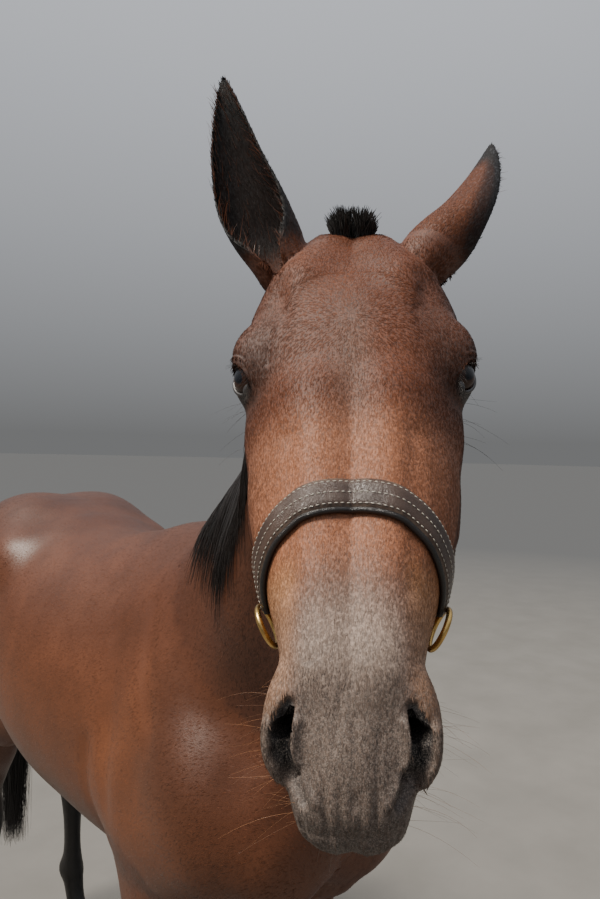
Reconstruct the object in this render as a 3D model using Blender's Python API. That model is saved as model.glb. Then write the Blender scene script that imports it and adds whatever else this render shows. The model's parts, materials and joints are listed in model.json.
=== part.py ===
# A standing bay riding horse, life size, wearing a leather halter.
# Metres, +Z up. The horse faces -Y, its left is +X, and the floor is z = 0.
import math

import bmesh
import bpy
import numpy as np
from mathutils import Matrix, Vector

# Driving sizes of the body
WITHERS = 1.60
GIRTH = 0.86
FORE_Y = -0.50
HIND_Y = 0.72
STANCE_FORE = 0.145
STANCE_HIND = 0.150
GAP = 0.0003

# The head: its poll, the way it faces, and how far the face leans from the vertical
POLL = Vector((-0.2745, -1.088, 2.012))
HEAD_TURN = math.radians(46.4)
FACE_LEAN = math.radians(34.1)
HEAD_TILT = math.radians(2.0)
EYE_RADIUS = 0.0225
EYE_AT = Vector((0.201, 0.0980, -0.042))
EYE_LOOKS = Vector((0.20, 0.72, 0.62))


def head_matrix():
    """Head frame: x runs down the face from the poll, y to the horse's left, z out of the forehead."""
    ahead = Vector((-math.sin(HEAD_TURN), -math.cos(HEAD_TURN), 0))
    left = Vector((math.cos(HEAD_TURN), -math.sin(HEAD_TURN), 0))
    up = Vector((0, 0, 1))
    down_face = ahead * math.sin(FACE_LEAN) - up * math.cos(FACE_LEAN)
    out_face = ahead * math.cos(FACE_LEAN) + up * math.sin(FACE_LEAN)
    tilted = down_face * math.cos(HEAD_TILT) + left * math.sin(HEAD_TILT)
    left = left * math.cos(HEAD_TILT) - down_face * math.sin(HEAD_TILT)
    return Matrix((tilted, left, out_face)).transposed().to_4x4()


HEAD = Matrix.Translation(POLL) @ head_matrix()
BODY = Matrix.Identity(4)


# Forms: each is a rounded shape that says how far a point lies from its surface
def smooth_rows(rows, per_span):
    """Rows of numbers joined by a smooth curve, with per_span steps between each two."""
    rows = np.array(rows, float)
    ahead = np.vstack([rows[0] * 2 - rows[1], rows, rows[-1] * 2 - rows[-2]])
    made = []
    for i in range(len(rows) - 1):
        a, b, c, d = ahead[i : i + 4]
        for t in np.arange(per_span) / per_span:
            made.append(
                0.5 * (2 * b + (c - a) * t + (2 * a - 5 * b + 4 * c - d) * t**2
                       + (3 * b - a - 3 * c + d) * t**3)
            )
    return np.array(made + [rows[-1]])


class Form:
    """A shape in its own frame. A paired one has a twin across the frame's middle plane."""

    def __init__(self, frame, blend, paired, side):
        self.place = np.array(frame, float)
        self.back = np.linalg.inv(self.place)
        self.blend, self.paired, self.side = blend, paired, side

    def local(self, points):
        at = points @ self.back[:3, :3].T + self.back[:3, 3]
        if self.paired:
            at[:, self.side] = np.abs(at[:, self.side])
        return at

    def outline(self):
        """Closed meshes, in the world, that this form fills."""
        points, faces = self.shell()
        for sign in (1, -1) if self.paired else (1,):
            at = points.copy()
            at[:, self.side] *= sign
            at = at @ self.place[:3, :3].T + self.place[:3, 3]
            yield at, [tuple(reversed(f)) for f in faces] if sign < 0 else faces


def ball_shell(centre, radii, axes):
    bm = bmesh.new()
    bmesh.ops.create_icosphere(bm, subdivisions=3, radius=1)
    points = np.array([v.co for v in bm.verts]) * radii
    faces = [tuple(v.index for v in f.verts) for f in bm.faces]
    bm.free()
    return points @ axes.T + centre, faces


class Ball(Form):
    """An ellipsoid. lie holds its turns about x, y and z in degrees."""

    def __init__(self, centre, radii, blend=0.03, lie=(0, 0, 0), frame=BODY, paired=False, side=0):
        super().__init__(frame, blend, paired, side)
        self.centre, self.radii = np.array(centre, float), np.array(radii, float)
        turns = [Matrix.Rotation(math.radians(a), 3, n) for a, n in zip(lie, "XYZ")]
        self.axes = np.array(turns[2] @ turns[1] @ turns[0])
        reach = np.sqrt((self.axes**2) @ self.radii**2)
        self.low, self.high = self.centre - reach, self.centre + reach

    def distance(self, at):
        q = (at - self.centre) @ self.axes
        k0 = np.linalg.norm(q / self.radii, axis=1)
        k1 = np.linalg.norm(q / self.radii**2, axis=1)
        return np.where(k1 > 1e-9, k0 * (k0 - 1) / np.maximum(k1, 1e-9), -self.radii.min())

    def shell(self):
        return ball_shell(self.centre, self.radii, self.axes)


class Rod(Form):
    """A straight round bar from one ball to another, of two radii."""

    def __init__(self, start, end, r0, r1, blend=0.03, frame=BODY, paired=False, side=0):
        super().__init__(frame, blend, paired, side)
        self.start, self.end = np.array(start, float), np.array(end, float)
        self.r0, self.r1 = r0, r1
        self.low = np.minimum(self.start - r0, self.end - r1)
        self.high = np.maximum(self.start + r0, self.end + r1)

    def distance(self, at):
        run = self.end - self.start
        t = np.clip((at - self.start) @ run / (run @ run), 0, 1)
        gap = np.linalg.norm(at - self.start - t[:, None] * run, axis=1)
        return gap - (self.r0 + (self.r1 - self.r0) * t)

    def shell(self):
        bm = bmesh.new()
        for centre, radius in ((self.start, self.r0), (self.end, self.r1)):
            place = Matrix.Translation(Vector(centre))
            bmesh.ops.create_icosphere(bm, subdivisions=2, radius=radius, matrix=place)
        hull = bmesh.ops.convex_hull(bm, input=list(bm.verts))
        bmesh.ops.delete(bm, geom=hull["geom_interior"], context="VERTS")
        bm.verts.index_update()
        points = np.array([v.co for v in bm.verts])
        faces = [tuple(v.index for v in f.verts) for f in bm.faces]
        bm.free()
        return points, faces


class Loft(Form):
    """A limb through sections: centre x, y, z, half width, rise, drop, power above, power below.

    across is the direction of its width, and rise is measured square to it and to the path.
    """

    def __init__(self, rows, blend=0.03, across=(1, 0, 0), cap=0.03, frame=BODY, paired=False, side=0):
        super().__init__(frame, blend, paired, side)
        made = smooth_rows(rows, 8)
        self.centre, self.sizes, self.cap = made[:, :3], np.maximum(made[:, 3:], 0.004), cap
        run = np.gradient(self.centre, axis=0)
        self.run = run / np.linalg.norm(run, axis=1)[:, None]
        wide = np.array(across, float) - self.run * (self.run @ np.array(across, float))[:, None]
        self.wide = wide / np.linalg.norm(wide, axis=1)[:, None]
        self.rise = np.cross(self.run, self.wide)
        reach = self.sizes[:, :3].max(axis=1)[:, None]
        self.low = (self.centre - reach).min(axis=0) - cap
        self.high = (self.centre + reach).max(axis=0) + cap

    def nearest(self, at):
        """Where along the path, in steps, each point's section lies."""
        last = len(self.centre) - 1
        gaps = ((at[:, None, :] - self.centre[None]) ** 2).sum(axis=2)
        t = gaps.argmin(axis=1).astype(float)
        step = np.linalg.norm(np.diff(self.centre, axis=0), axis=1).mean()
        for _ in range(4):
            centre, run = self.between(self.centre, t), self.between(self.run, t)
            t = np.clip(t + ((at - centre) * run).sum(axis=1) / step * 0.8, 0, last)
        return t

    def between(self, rows, t):
        low = np.minimum(t.astype(int), len(rows) - 2)
        share = (t - low)[:, None]
        return rows[low] * (1 - share) + rows[low + 1] * share

    def distance(self, at):
        t = self.nearest(at)
        off = at - self.between(self.centre, t)
        a = (off * self.between(self.wide, t)).sum(axis=1)
        b = (off * self.between(self.rise, t)).sum(axis=1)
        c = (off * self.between(self.run, t)).sum(axis=1)
        ends = (t <= 0) | (t >= len(self.centre) - 1)
        c = np.where(ends, c, 0)
        width, up, down, power_up, power_down = self.between(self.sizes, t).T
        power = np.where(b > 0, power_up, power_down)
        height = np.where(b > 0, up, down)
        inner = (np.abs(a / width) ** power + np.abs(b / height) ** power) ** (2 / power)
        n = np.sqrt(np.maximum(inner + (c / self.cap) ** 2, 1e-8))
        away = np.sqrt(a * a + b * b + c * c)
        return away - away / n

    def shell(self, around=20):
        points, faces = [], []
        for centre, wide, rise, size in zip(self.centre, self.wide, self.rise, self.sizes):
            for angle in np.arange(around) * 2 * math.pi / around:
                x, z = math.cos(angle), math.sin(angle)
                power = size[3] if z > 0 else size[4]
                height = size[1] if z > 0 else size[2]
                n = (abs(x) ** power + abs(z) ** power) ** (1 / power)
                points.append(centre + wide * size[0] * x / n + rise * height * z / n)
        rings = len(self.centre)
        for i in range(rings - 1):
            for j in range(around):
                k = (j + 1) % around
                a, b = i * around, (i + 1) * around
                faces.append((a + k, a + j, b + j, b + k))
        faces.append(tuple(range(around)))
        faces.append(tuple(reversed(range((rings - 1) * around, rings * around))))
        return np.array(points), faces


class Stroke(Form):
    """A raised line, or with a minus height a groove, along a smooth line through points."""

    def __init__(self, points, radius, height, frame=BODY, paired=False, side=0):
        super().__init__(frame, 0, paired, side)
        self.line = smooth_rows(points, 6) if len(points) > 1 else np.array(points, float)
        self.radius, self.height = radius, height
        self.low = self.line.min(axis=0) - 3 * radius
        self.high = self.line.max(axis=0) + 3 * radius

    def raised(self, at):
        gaps = ((at - self.line[0]) ** 2).sum(axis=1)
        for a, b in zip(self.line[:-1], self.line[1:]):
            share = np.clip((at - a) @ (b - a) / ((b - a) @ (b - a)), 0, 1)[:, None]
            gaps = np.minimum(gaps, ((at - a - share * (b - a)) ** 2).sum(axis=1))
        return self.height * np.exp(-gaps / self.radius**2)


def smooth_min(a, b, k):
    near = np.maximum(k - np.abs(a - b), 0) / k
    return np.minimum(a, b) - near * near * k / 4


class Shape:
    """Forms added together smoothly, then forms cut away, then strokes."""

    def __init__(self, added, cut=(), strokes=()):
        self.added, self.cut, self.strokes = list(added), list(cut), list(strokes)

    def close_to(self, form, points, margin):
        at = form.local(points)
        found = ((at > form.low - margin) & (at < form.high + margin)).all(axis=1)
        index = np.flatnonzero(found)
        return index, at[index]

    def distance(self, points):
        """How far each point lies outside the surface, or with a minus sign inside it."""
        value = np.full(len(points), 0.5)
        for form in self.added:
            index, at = self.close_to(form, points, form.blend + 0.02)
            if len(index):
                value[index] = smooth_min(value[index], form.distance(at), form.blend)
        for form in self.cut:
            index, at = self.close_to(form, points, form.blend + 0.01)
            if len(index):
                value[index] = -smooth_min(-value[index], form.distance(at), form.blend)
        for stroke in self.strokes:
            index, at = self.close_to(stroke, points, 0)
            if len(index):
                value[index] -= stroke.raised(at)
        return value

    def slope(self, points, step=0.001):
        """The outward direction at each point."""
        found = []
        for axis in np.eye(3) * step:
            found.append(self.distance(points + axis) - self.distance(points - axis))
        found = np.array(found).T
        return found / np.maximum(np.linalg.norm(found, axis=1)[:, None], 1e-12)

    def onto(self, points, height=0.0, rounds=5):
        """The points moved to the given height over the surface."""
        for _ in range(rounds):
            points = points - self.slope(points) * (self.distance(points) - height)[:, None] * 0.9
        return points


# The body's forms
def torso_forms():
    """Sections from breast to buttock: y, top, bottom, half width, widest level, powers."""
    rows = [
        (-0.80, 1.22, 0.99, 0.090, 1.11, 2.0, 2.0),
        (-0.74, 1.36, 0.955, 0.190, 1.13, 2.0, 2.1),
        (-0.62, 1.48, 0.897, 0.232, 1.14, 1.9, 2.2),
        (-0.50, 1.565, 0.870, 0.243, 1.14, 1.7, 2.3),
        (-0.42, WITHERS, GIRTH, 0.247, 1.14, 1.55, 2.4),
        (-0.30, 1.586, 0.852, 0.262, 1.15, 1.6, 2.3),
        (-0.15, 1.548, 0.845, 0.282, 1.16, 1.8, 2.2),
        (0.02, 1.527, 0.848, 0.300, 1.18, 2.0, 2.2),
        (0.18, 1.537, 0.868, 0.300, 1.20, 2.2, 2.1),
        (0.32, 1.575, 0.915, 0.283, 1.24, 2.3, 2.1),
        (0.44, 1.598, 0.975, 0.268, 1.28, 2.3, 2.1),
        (0.56, 1.583, 1.03, 0.250, 1.28, 2.2, 2.1),
        (0.67, 1.530, 1.06, 0.210, 1.28, 2.1, 2.0),
        (0.75, 1.450, 1.09, 0.150, 1.27, 2.0, 2.0),
        (0.795, 1.35, 1.16, 0.070, 1.26, 2.0, 2.0),
    ]
    sections = [(0, y, mid, wide, top - mid, mid - low, pu, pd) for y, top, low, wide, mid, pu, pd in rows]
    made = [Loft(sections, blend=0.05, across=(-1, 0, 0))]
    pair = dict(paired=True, side=0)
    made += [
        # withers ridge
        Rod((0, -0.50, 1.545), (0, -0.10, 1.500), 0.030, 0.022, blend=0.07),
        # shoulder blade, point of the shoulder, upper arm
        Ball((0.150, -0.53, 1.27), (0.060, 0.150, 0.220), 0.09, (-24, -12, 0), **pair),
        Ball((0.190, -0.665, 1.13), (0.066, 0.090, 0.13), 0.07, (-20, 0, 0), **pair),
        Ball((0.190, -0.50, 1.05), (0.062, 0.16, 0.105), 0.07, (28, 0, 0), **pair),
        # breast muscles
        Ball((0.092, -0.765, 1.10), (0.100, 0.068, 0.12), 0.06, (0, 0, 0), **pair),
        Ball((0.078, -0.60, 0.960), (0.085, 0.15, 0.082), 0.08, (0, 0, 0), **pair),
        # point of the hip, croup, thigh, buttock, stifle
        Ball((0.215, 0.30, 1.440), (0.045, 0.070, 0.055), 0.10, (0, 0, 0), **pair),
        Ball((0.120, 0.50, 1.43), (0.140, 0.21, 0.160), 0.08, (-12, 0, 0), **pair),
        Ball((0.165, 0.58, 1.22), (0.115, 0.190, 0.24), 0.08, (10, 0, 0), **pair),
        Ball((0.118, 0.690, 1.16), (0.090, 0.090, 0.25), 0.09, (-8, 0, 0), **pair),
        Ball((0.185, 0.45, 1.05), (0.080, 0.130, 0.18), 0.08, (-22, 0, 0), **pair),
    ]
    return made


def neck_forms():
    """Sections from the shoulders to the nape; the neck bends to the horse's right."""
    rows = [
        (0.000, -0.46, 1.24, 0.160, 0.310, 0.310),
        (-0.020, -0.600, 1.375, 0.150, 0.272, 0.262),
        (-0.065, -0.730, 1.518, 0.120, 0.218, 0.202),
        (-0.101, -0.840, 1.652, 0.080, 0.180, 0.162),
        (-0.163, -0.925, 1.760, 0.067, 0.150, 0.137),
        (-0.209, -0.978, 1.830, 0.060, 0.126, 0.118),
    ]
    sections = [(x, y, z, wide, up, down, 1.8, 2.1) for x, y, z, wide, up, down in rows]
    made = [Loft(sections, blend=0.06, across=(-1, 0, 0), cap=0.12)]
    made += [
        # nape behind the ears, windpipe, long muscles of each side
        Rod((-0.180, -0.890, 1.872), (-0.258, -1.050, 1.950), 0.044, 0.048, blend=0.07),
        Rod((-0.208, -0.975, 1.735), (-0.012, -0.790, 1.300), 0.042, 0.052, blend=0.06),
        Rod((0.088, -0.66, 1.34), (-0.125, -0.925, 1.765), 0.072, 0.042, blend=0.06),
        Rod((-0.085, -0.66, 1.34), (-0.200, -0.885, 1.765), 0.070, 0.038, blend=0.06),
    ]
    return made


def foreleg_forms(side, ahead):
    """A foreleg from the elbow to the coronet. side is 1 on the left; ahead moves the foot."""
    x, y = side * STANCE_FORE, FORE_Y
    toe = y - ahead
    rows = [
        (side * 0.160, y + 0.035, 1.00, 0.072, 0.120, 0.125),
        (side * 0.158, y + 0.020, 0.88, 0.070, 0.098, 0.105),
        (side * 0.154, y + 0.004, 0.77, 0.060, 0.074, 0.076),
        (x, y - ahead * 0.3, 0.66, 0.050, 0.058, 0.058),
        (x, y - ahead * 0.45, 0.56, 0.043, 0.047, 0.047),
        (x, y - ahead * 0.5, 0.50, 0.045, 0.048, 0.045),
        (x, y - ahead * 0.55, 0.455, 0.047, 0.049, 0.044),
        (x, y - ahead * 0.6, 0.405, 0.038, 0.038, 0.042),
        (x, y - ahead * 0.7, 0.35, 0.029, 0.029, 0.039),
        (x, y - ahead * 0.8, 0.29, 0.028, 0.028, 0.040),
        (x, y - ahead * 0.9, 0.245, 0.034, 0.035, 0.044),
        (x, toe, 0.215, 0.037, 0.038, 0.046),
        (x, toe - 0.012, 0.180, 0.032, 0.033, 0.038),
        (x, toe - 0.030, 0.140, 0.031, 0.031, 0.034),
        (x, toe - 0.048, 0.105, 0.039, 0.038, 0.041),
        (x, toe - 0.060, 0.078, 0.047, 0.047, 0.048),
    ]
    sections = [(a, b, c, wide, front, back, 2.1, 2.1) for a, b, c, wide, front, back in rows]
    knee = y - ahead * 0.5
    return [
        Loft(sections, blend=0.035, across=(1, 0, 0), cap=0.012),
        # elbow, forearm muscle, knee bones, pisiform, sesamoids
        Ball((side * 0.150, y + 0.115, 0.935), (0.040, 0.045, 0.060), 0.05),
        Ball((side * 0.178, y - 0.030, 0.84), (0.050, 0.070, 0.130), 0.05, (4, 0, 0)),
        Ball((x, knee - 0.014, 0.475), (0.047, 0.042, 0.050), 0.03),
        Ball((x + side * 0.004, knee + 0.040, 0.490), (0.018, 0.022, 0.030), 0.035),
        Ball((x, toe + 0.020, 0.222), (0.034, 0.028, 0.030), 0.03),
    ]


def hindleg_forms(side, back):
    """A hind leg from the stifle to the coronet. back moves the foot backward."""
    x, y = side * STANCE_HIND, HIND_Y
    foot = y + back
    rows = [
        (side * 0.165, y - 0.235, 1.08, 0.085, 0.150, 0.140),
        (side * 0.165, y - 0.190, 0.95, 0.078, 0.118, 0.120),
        (side * 0.160, y - 0.115 + back * 0.3, 0.83, 0.062, 0.088, 0.086),
        (x, y - 0.045 + back * 0.6, 0.72, 0.046, 0.060, 0.058),
        (x, y + 0.008 + back * 0.9, 0.635, 0.038, 0.044, 0.050),
        (x, foot + 0.020, 0.575, 0.043, 0.050, 0.056),
        (x, foot + 0.018, 0.525, 0.045, 0.052, 0.050),
        (x, foot + 0.014, 0.475, 0.037, 0.039, 0.044),
        (x, foot + 0.010, 0.41, 0.030, 0.031, 0.041),
        (x, foot + 0.004, 0.33, 0.028, 0.030, 0.041),
        (x, foot, 0.265, 0.034, 0.036, 0.046),
        (x, foot - 0.003, 0.232, 0.038, 0.040, 0.048),
        (x, foot - 0.016, 0.195, 0.033, 0.034, 0.040),
        (x, foot - 0.034, 0.150, 0.031, 0.031, 0.034),
        (x, foot - 0.052, 0.110, 0.038, 0.037, 0.040),
        (x, foot - 0.064, 0.080, 0.045, 0.046, 0.047),
    ]
    sections = [(a, b, c, wide, front, rear, 2.1, 2.1) for a, b, c, wide, front, rear in rows]
    return [
        Loft(sections, blend=0.04, across=(1, 0, 0), cap=0.012),
        # hamstrings, kneecap, gaskin muscle, point and tendon of the hock, sesamoids
        Rod((side * 0.150, y - 0.040, 1.04), (side * 0.152, y - 0.058 + back * 0.4, 0.80), 0.074, 0.042,
            blend=0.07),
        Ball((side * 0.178, y - 0.335, 0.985), (0.050, 0.060, 0.075), 0.06),
        Ball((side * 0.172, y - 0.135 + back * 0.2, 0.865), (0.060, 0.080, 0.125), 0.05, (28, 0, 0)),
        Rod((x, foot + 0.074, 0.628), (x, foot + 0.058, 0.530), 0.021, 0.024, blend=0.035),
        Rod((x, y - 0.045 + back * 0.5, 0.85), (x, foot + 0.070, 0.64), 0.020, 0.016, blend=0.035),
        Ball((x, foot + 0.022, 0.240), (0.034, 0.028, 0.030), 0.03),
    ]


def head_forms():
    """Sections from poll to upper lip: s, top, bottom, half width, widest level, powers."""
    face_rows = [
        (-0.020, -0.045, -0.120, 0.036, -0.080, 2.0, 2.0),
        (0.020, -0.018, -0.145, 0.054, -0.070, 2.1, 2.0),
        (0.055, 0.000, -0.165, 0.086, -0.066, 2.2, 2.0),
        (0.085, 0.010, -0.180, 0.106, -0.062, 2.3, 2.0),
        (0.120, 0.017, -0.195, 0.116, -0.060, 2.4, 2.0),
        (0.165, 0.021, -0.205, 0.111, -0.060, 2.5, 2.0),
        (0.215, 0.017, -0.205, 0.105, -0.066, 2.5, 2.0),
        (0.270, 0.010, -0.195, 0.103, -0.074, 2.4, 2.0),
        (0.325, 0.005, -0.178, 0.102, -0.078, 2.4, 2.0),
        (0.375, 0.003, -0.155, 0.093, -0.076, 2.4, 2.0),
        (0.425, 0.003, -0.133, 0.077, -0.070, 2.4, 2.0),
        (0.475, 0.003, -0.117, 0.062, -0.064, 2.4, 2.0),
        (0.520, 0.002, -0.105, 0.055, -0.058, 2.4, 2.1),
        (0.552, -0.006, -0.098, 0.046, -0.056, 2.3, 2.2),
        (0.578, -0.020, -0.095, 0.041, -0.060, 2.2, 2.3),
        (0.596, -0.040, -0.094, 0.036, -0.068, 2.1, 2.2),
    ]
    jaw_rows = [
        (0.070, -0.130, -0.225, 0.045, -0.175, 2.0, 2.0),
        (0.110, -0.100, -0.268, 0.066, -0.185, 2.1, 2.1),
        (0.160, -0.090, -0.284, 0.076, -0.180, 2.2, 2.2),
        (0.220, -0.090, -0.276, 0.076, -0.175, 2.2, 2.2),
        (0.280, -0.090, -0.250, 0.066, -0.165, 2.1, 2.1),
        (0.345, -0.090, -0.212, 0.052, -0.150, 2.0, 2.0),
        (0.410, -0.085, -0.175, 0.042, -0.130, 2.0, 2.0),
        (0.470, -0.080, -0.148, 0.036, -0.112, 2.0, 2.0),
        (0.520, -0.080, -0.136, 0.034, -0.106, 2.0, 2.0),
        (0.548, -0.085, -0.130, 0.031, -0.108, 2.0, 2.0),
        (0.572, -0.092, -0.122, 0.024, -0.108, 2.0, 2.0),
    ]
    lofts = []
    for rows, blend, cap in ((face_rows, 0.03, 0.018), (jaw_rows, 0.03, 0.012)):
        sections = [(s, 0, mid, wide, top - mid, mid - low, pu, pd) for s, top, low, wide, mid, pu, pd in rows]
        lofts.append(Loft(sections, blend=blend, across=(0, 1, 0), cap=cap, frame=HEAD))
    pair = dict(frame=HEAD, paired=True, side=1)
    looks = EYE_LOOKS.normalized()
    lid_ball = EYE_AT - looks * 0.0012
    return lofts + [
        # chewing muscle, cheek ridge, brow, temple
        Ball((0.170, 0.060, -0.178), (0.092, 0.030, 0.088), 0.03, **pair),
        Rod((0.262, 0.086, -0.080), (0.350, 0.080, -0.086), 0.010, 0.008, 0.03, **pair),
        Ball((0.180, 0.101, -0.026), (0.036, 0.025, 0.022), 0.025, (0, 8, 0), **pair),
        Ball((0.232, 0.086, -0.070), (0.045, 0.020, 0.026), 0.03, (0, 0, 0), **pair),
        Rod((0.090, 0.055, -0.015), (0.030, 0.030, -0.030), 0.030, 0.030, 0.03, **pair),
        # lids
        Ball(lid_ball, (0.0264, 0.0258, 0.0254), 0.012, (0, 0, 0), **pair),
        # nasal bones, nostril wings, lips, chin
        Rod((0.250, 0.034, -0.012), (0.500, 0.024, -0.020), 0.024, 0.020, 0.03, **pair),
        Ball((0.538, 0.049, -0.036), (0.036, 0.019, 0.028), 0.02, (0, 16, 0), **pair),
        Ball((0.580, 0.018, -0.064), (0.026, 0.022, 0.028), 0.025, (0, 0, 0), **pair),
        Ball((0.592, 0.0, -0.072), (0.018, 0.024, 0.022), 0.02, frame=HEAD),
        Ball((0.528, 0.0, -0.122), (0.032, 0.028, 0.022), 0.02, frame=HEAD),
        Ball((0.568, 0.0, -0.108), (0.022, 0.024, 0.013), 0.012, frame=HEAD),
    ]


def eye_axes():
    """The eye's own axes in the head frame: along the lids, across them, and outward."""
    out = EYE_LOOKS.normalized()
    along = Vector((0.85, -0.35, 0.13))
    along = (along - out * along.dot(out)).normalized()
    return along, out.cross(along), out


def head_cuts():
    pair = dict(frame=HEAD, paired=True, side=1)
    return [
        # hollow over each eye, channel between the jaws
        Ball((0.130, 0.080, 0.020), (0.030, 0.012, 0.014), 0.02, (0, -10, 0), **pair),
        Rod((0.190, 0.0, -0.305), (0.420, 0.0, -0.195), 0.032, 0.020, 0.03, frame=HEAD),
    ]


def head_strokes():
    pair = dict(frame=HEAD, paired=True, side=1)
    return [
        Stroke([(0.150, 0.066, 0.010), (0.205, 0.070, 0.008)], 0.010, -0.0030, **pair),
        Stroke([(0.300, 0.052, 0.000), (0.440, 0.044, -0.008)], 0.012, -0.0025, **pair),
        Stroke([(0.300, 0.098, -0.100), (0.380, 0.070, -0.105), (0.470, 0.052, -0.085)], 0.014, -0.004, **pair),
    ]


SIDES = (("left", 1), ("right", -1))
FORE_AHEAD = {"left": 0.0, "right": 0.035}
HIND_BACK = {"left": 0.0, "right": -0.055}


def whole_horse():
    added = torso_forms() + neck_forms()
    for name, side in SIDES:
        added += foreleg_forms(side, FORE_AHEAD[name]) + hindleg_forms(side, HIND_BACK[name])
    return Shape(added + head_forms(), head_cuts(), head_strokes())


# Meshes
def new_object(name, mesh):
    made = bpy.data.objects.new(name, mesh)
    bpy.context.scene.collection.objects.link(made)
    return made


def solid(points, faces, name="piece"):
    mesh = bpy.data.meshes.new(name)
    mesh.from_pydata([tuple(p) for p in points], [], faces)
    mesh.update()
    return mesh


def filled(forms):
    """One mesh holding the closed outline of every form."""
    points, faces, first = [], [], 0
    for form in forms:
        for at, shell in form.outline():
            points.append(at)
            faces += [tuple(first + i for i in f) for f in shell]
            first += len(at)
    return solid(np.vstack(points), faces)


def evaluated_mesh(made):
    graph = bpy.context.evaluated_depsgraph_get()
    mesh = bpy.data.meshes.new_from_object(made.evaluated_get(graph))
    bpy.data.objects.remove(made)
    return mesh


def remeshed(mesh, voxel):
    made = new_object("remeshed", mesh)
    change = made.modifiers.new("Remesh", "REMESH")
    change.mode, change.voxel_size = "VOXEL", voxel
    return evaluated_mesh(made)


def points_of(mesh):
    points = np.empty(len(mesh.vertices) * 3)
    mesh.vertices.foreach_get("co", points)
    return points.reshape(-1, 3)


def normals_of(mesh):
    normals = np.empty(len(mesh.vertices) * 3)
    mesh.vertex_normals.foreach_get("vector", normals)
    return normals.reshape(-1, 3)


def set_points(mesh, points):
    mesh.vertices.foreach_set("co", points.ravel())
    mesh.update()


def relaxed(mesh, points, rounds):
    """Each point moved half way to the mean of its neighbours."""
    ends = np.empty(len(mesh.edges) * 2, np.int64)
    mesh.edges.foreach_get("vertices", ends)
    a, b = ends.reshape(-1, 2).T
    count = np.bincount(ends, minlength=len(points))[:, None]
    for _ in range(rounds):
        total = np.zeros_like(points)
        for axis in range(3):
            total[:, axis] += np.bincount(a, points[b, axis], len(points))
            total[:, axis] += np.bincount(b, points[a, axis], len(points))
        points = points + 0.5 * (total / count - points)
    return points


LONGEST_STEP = 0.02


def fitted(mesh, shape, rounds=7):
    """The mesh drawn onto the shape's smooth surface, its points kept evenly spread."""
    for i in range(rounds):
        if i < rounds - 2:
            set_points(mesh, relaxed(mesh, points_of(mesh), 2))
        points = points_of(mesh)
        step = np.clip(shape.distance(points), -LONGEST_STEP, LONGEST_STEP)
        set_points(mesh, points - normals_of(mesh) * step[:, None])
    return mesh


def thinned(mesh, keep, kept_points=None):
    """Fewer faces, by the share keep. kept_points marks the points that stay as they are."""
    made = new_object("thinned", mesh)
    change = made.modifiers.new("Decimate", "DECIMATE")
    change.ratio = keep
    if kept_points is not None:
        group = made.vertex_groups.new(name="free")
        group.add([int(i) for i in np.flatnonzero(~kept_points)], 1.0, "REPLACE")
        change.vertex_group = "free"
    return evaluated_mesh(made)


def swollen(mesh, by):
    """A copy with each point moved outward."""
    made = mesh.copy()
    set_points(made, points_of(made) + normals_of(made) * by)
    return made


def combined(mesh, others, operation):
    """The mesh joined with, or cut by, all the others at once."""
    target = new_object("target", mesh)
    pieces = bpy.data.collections.new("pieces")
    bpy.context.scene.collection.children.link(pieces)
    for other in others:
        pieces.objects.link(bpy.data.objects.new("other", other))
    change = target.modifiers.new("Boolean", "BOOLEAN")
    change.operation, change.solver = operation, "MANIFOLD"
    change.operand_type, change.collection = "COLLECTION", pieces
    made = evaluated_mesh(target)
    for piece in list(pieces.objects):
        bpy.data.objects.remove(piece)
    bpy.data.collections.remove(pieces)
    return made


def islands(mesh):
    """The mesh's separate closed surfaces, largest first. Surfaces that only touch count as separate."""
    bm = bmesh.new()
    bm.from_mesh(mesh)
    bmesh.ops.triangulate(bm, faces=bm.faces)
    left, found = set(bm.faces), []
    while left:
        stack, group = [left.pop()], []
        while stack:
            face = stack.pop()
            group.append(face)
            for edge in face.edges:
                for other in edge.link_faces:
                    if other in left:
                        left.remove(other)
                        stack.append(other)
        found.append(sorted(group, key=lambda f: f.index))
    meshes = []
    for group in sorted(found, key=len, reverse=True):
        number = {v: i for i, v in enumerate(dict.fromkeys(v for f in group for v in f.verts))}
        meshes.append(solid([v.co[:] for v in number], [[number[v] for v in f.verts] for f in group]))
    bm.free()
    return meshes


def largest(mesh):
    return islands(mesh)[0]


def disc(centre, normal, radius, thick=GAP, sides=24):
    """A thin round plate, which parts two nodes."""
    bm = bmesh.new()
    turn = Vector(normal).to_track_quat("Z", "Y").to_matrix().to_4x4()
    place = Matrix.Translation(Vector(centre)) @ turn
    bmesh.ops.create_cone(
        bm, cap_ends=True, segments=sides, radius1=radius, radius2=radius, depth=thick, matrix=place
    )
    mesh = bpy.data.meshes.new("disc")
    bm.to_mesh(mesh)
    bm.free()
    return mesh


def bead(centre, radii, axes=None, finer=2):
    """An ellipsoid mesh."""
    bm = bmesh.new()
    bmesh.ops.create_icosphere(bm, subdivisions=finer, radius=1)
    points = np.array([v.co for v in bm.verts]) * radii
    faces = [tuple(v.index for v in f.verts) for f in bm.faces]
    bm.free()
    axes = np.eye(3) if axes is None else np.array(axes)
    return outward(solid(points @ axes.T + np.array(centre), faces))


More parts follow.
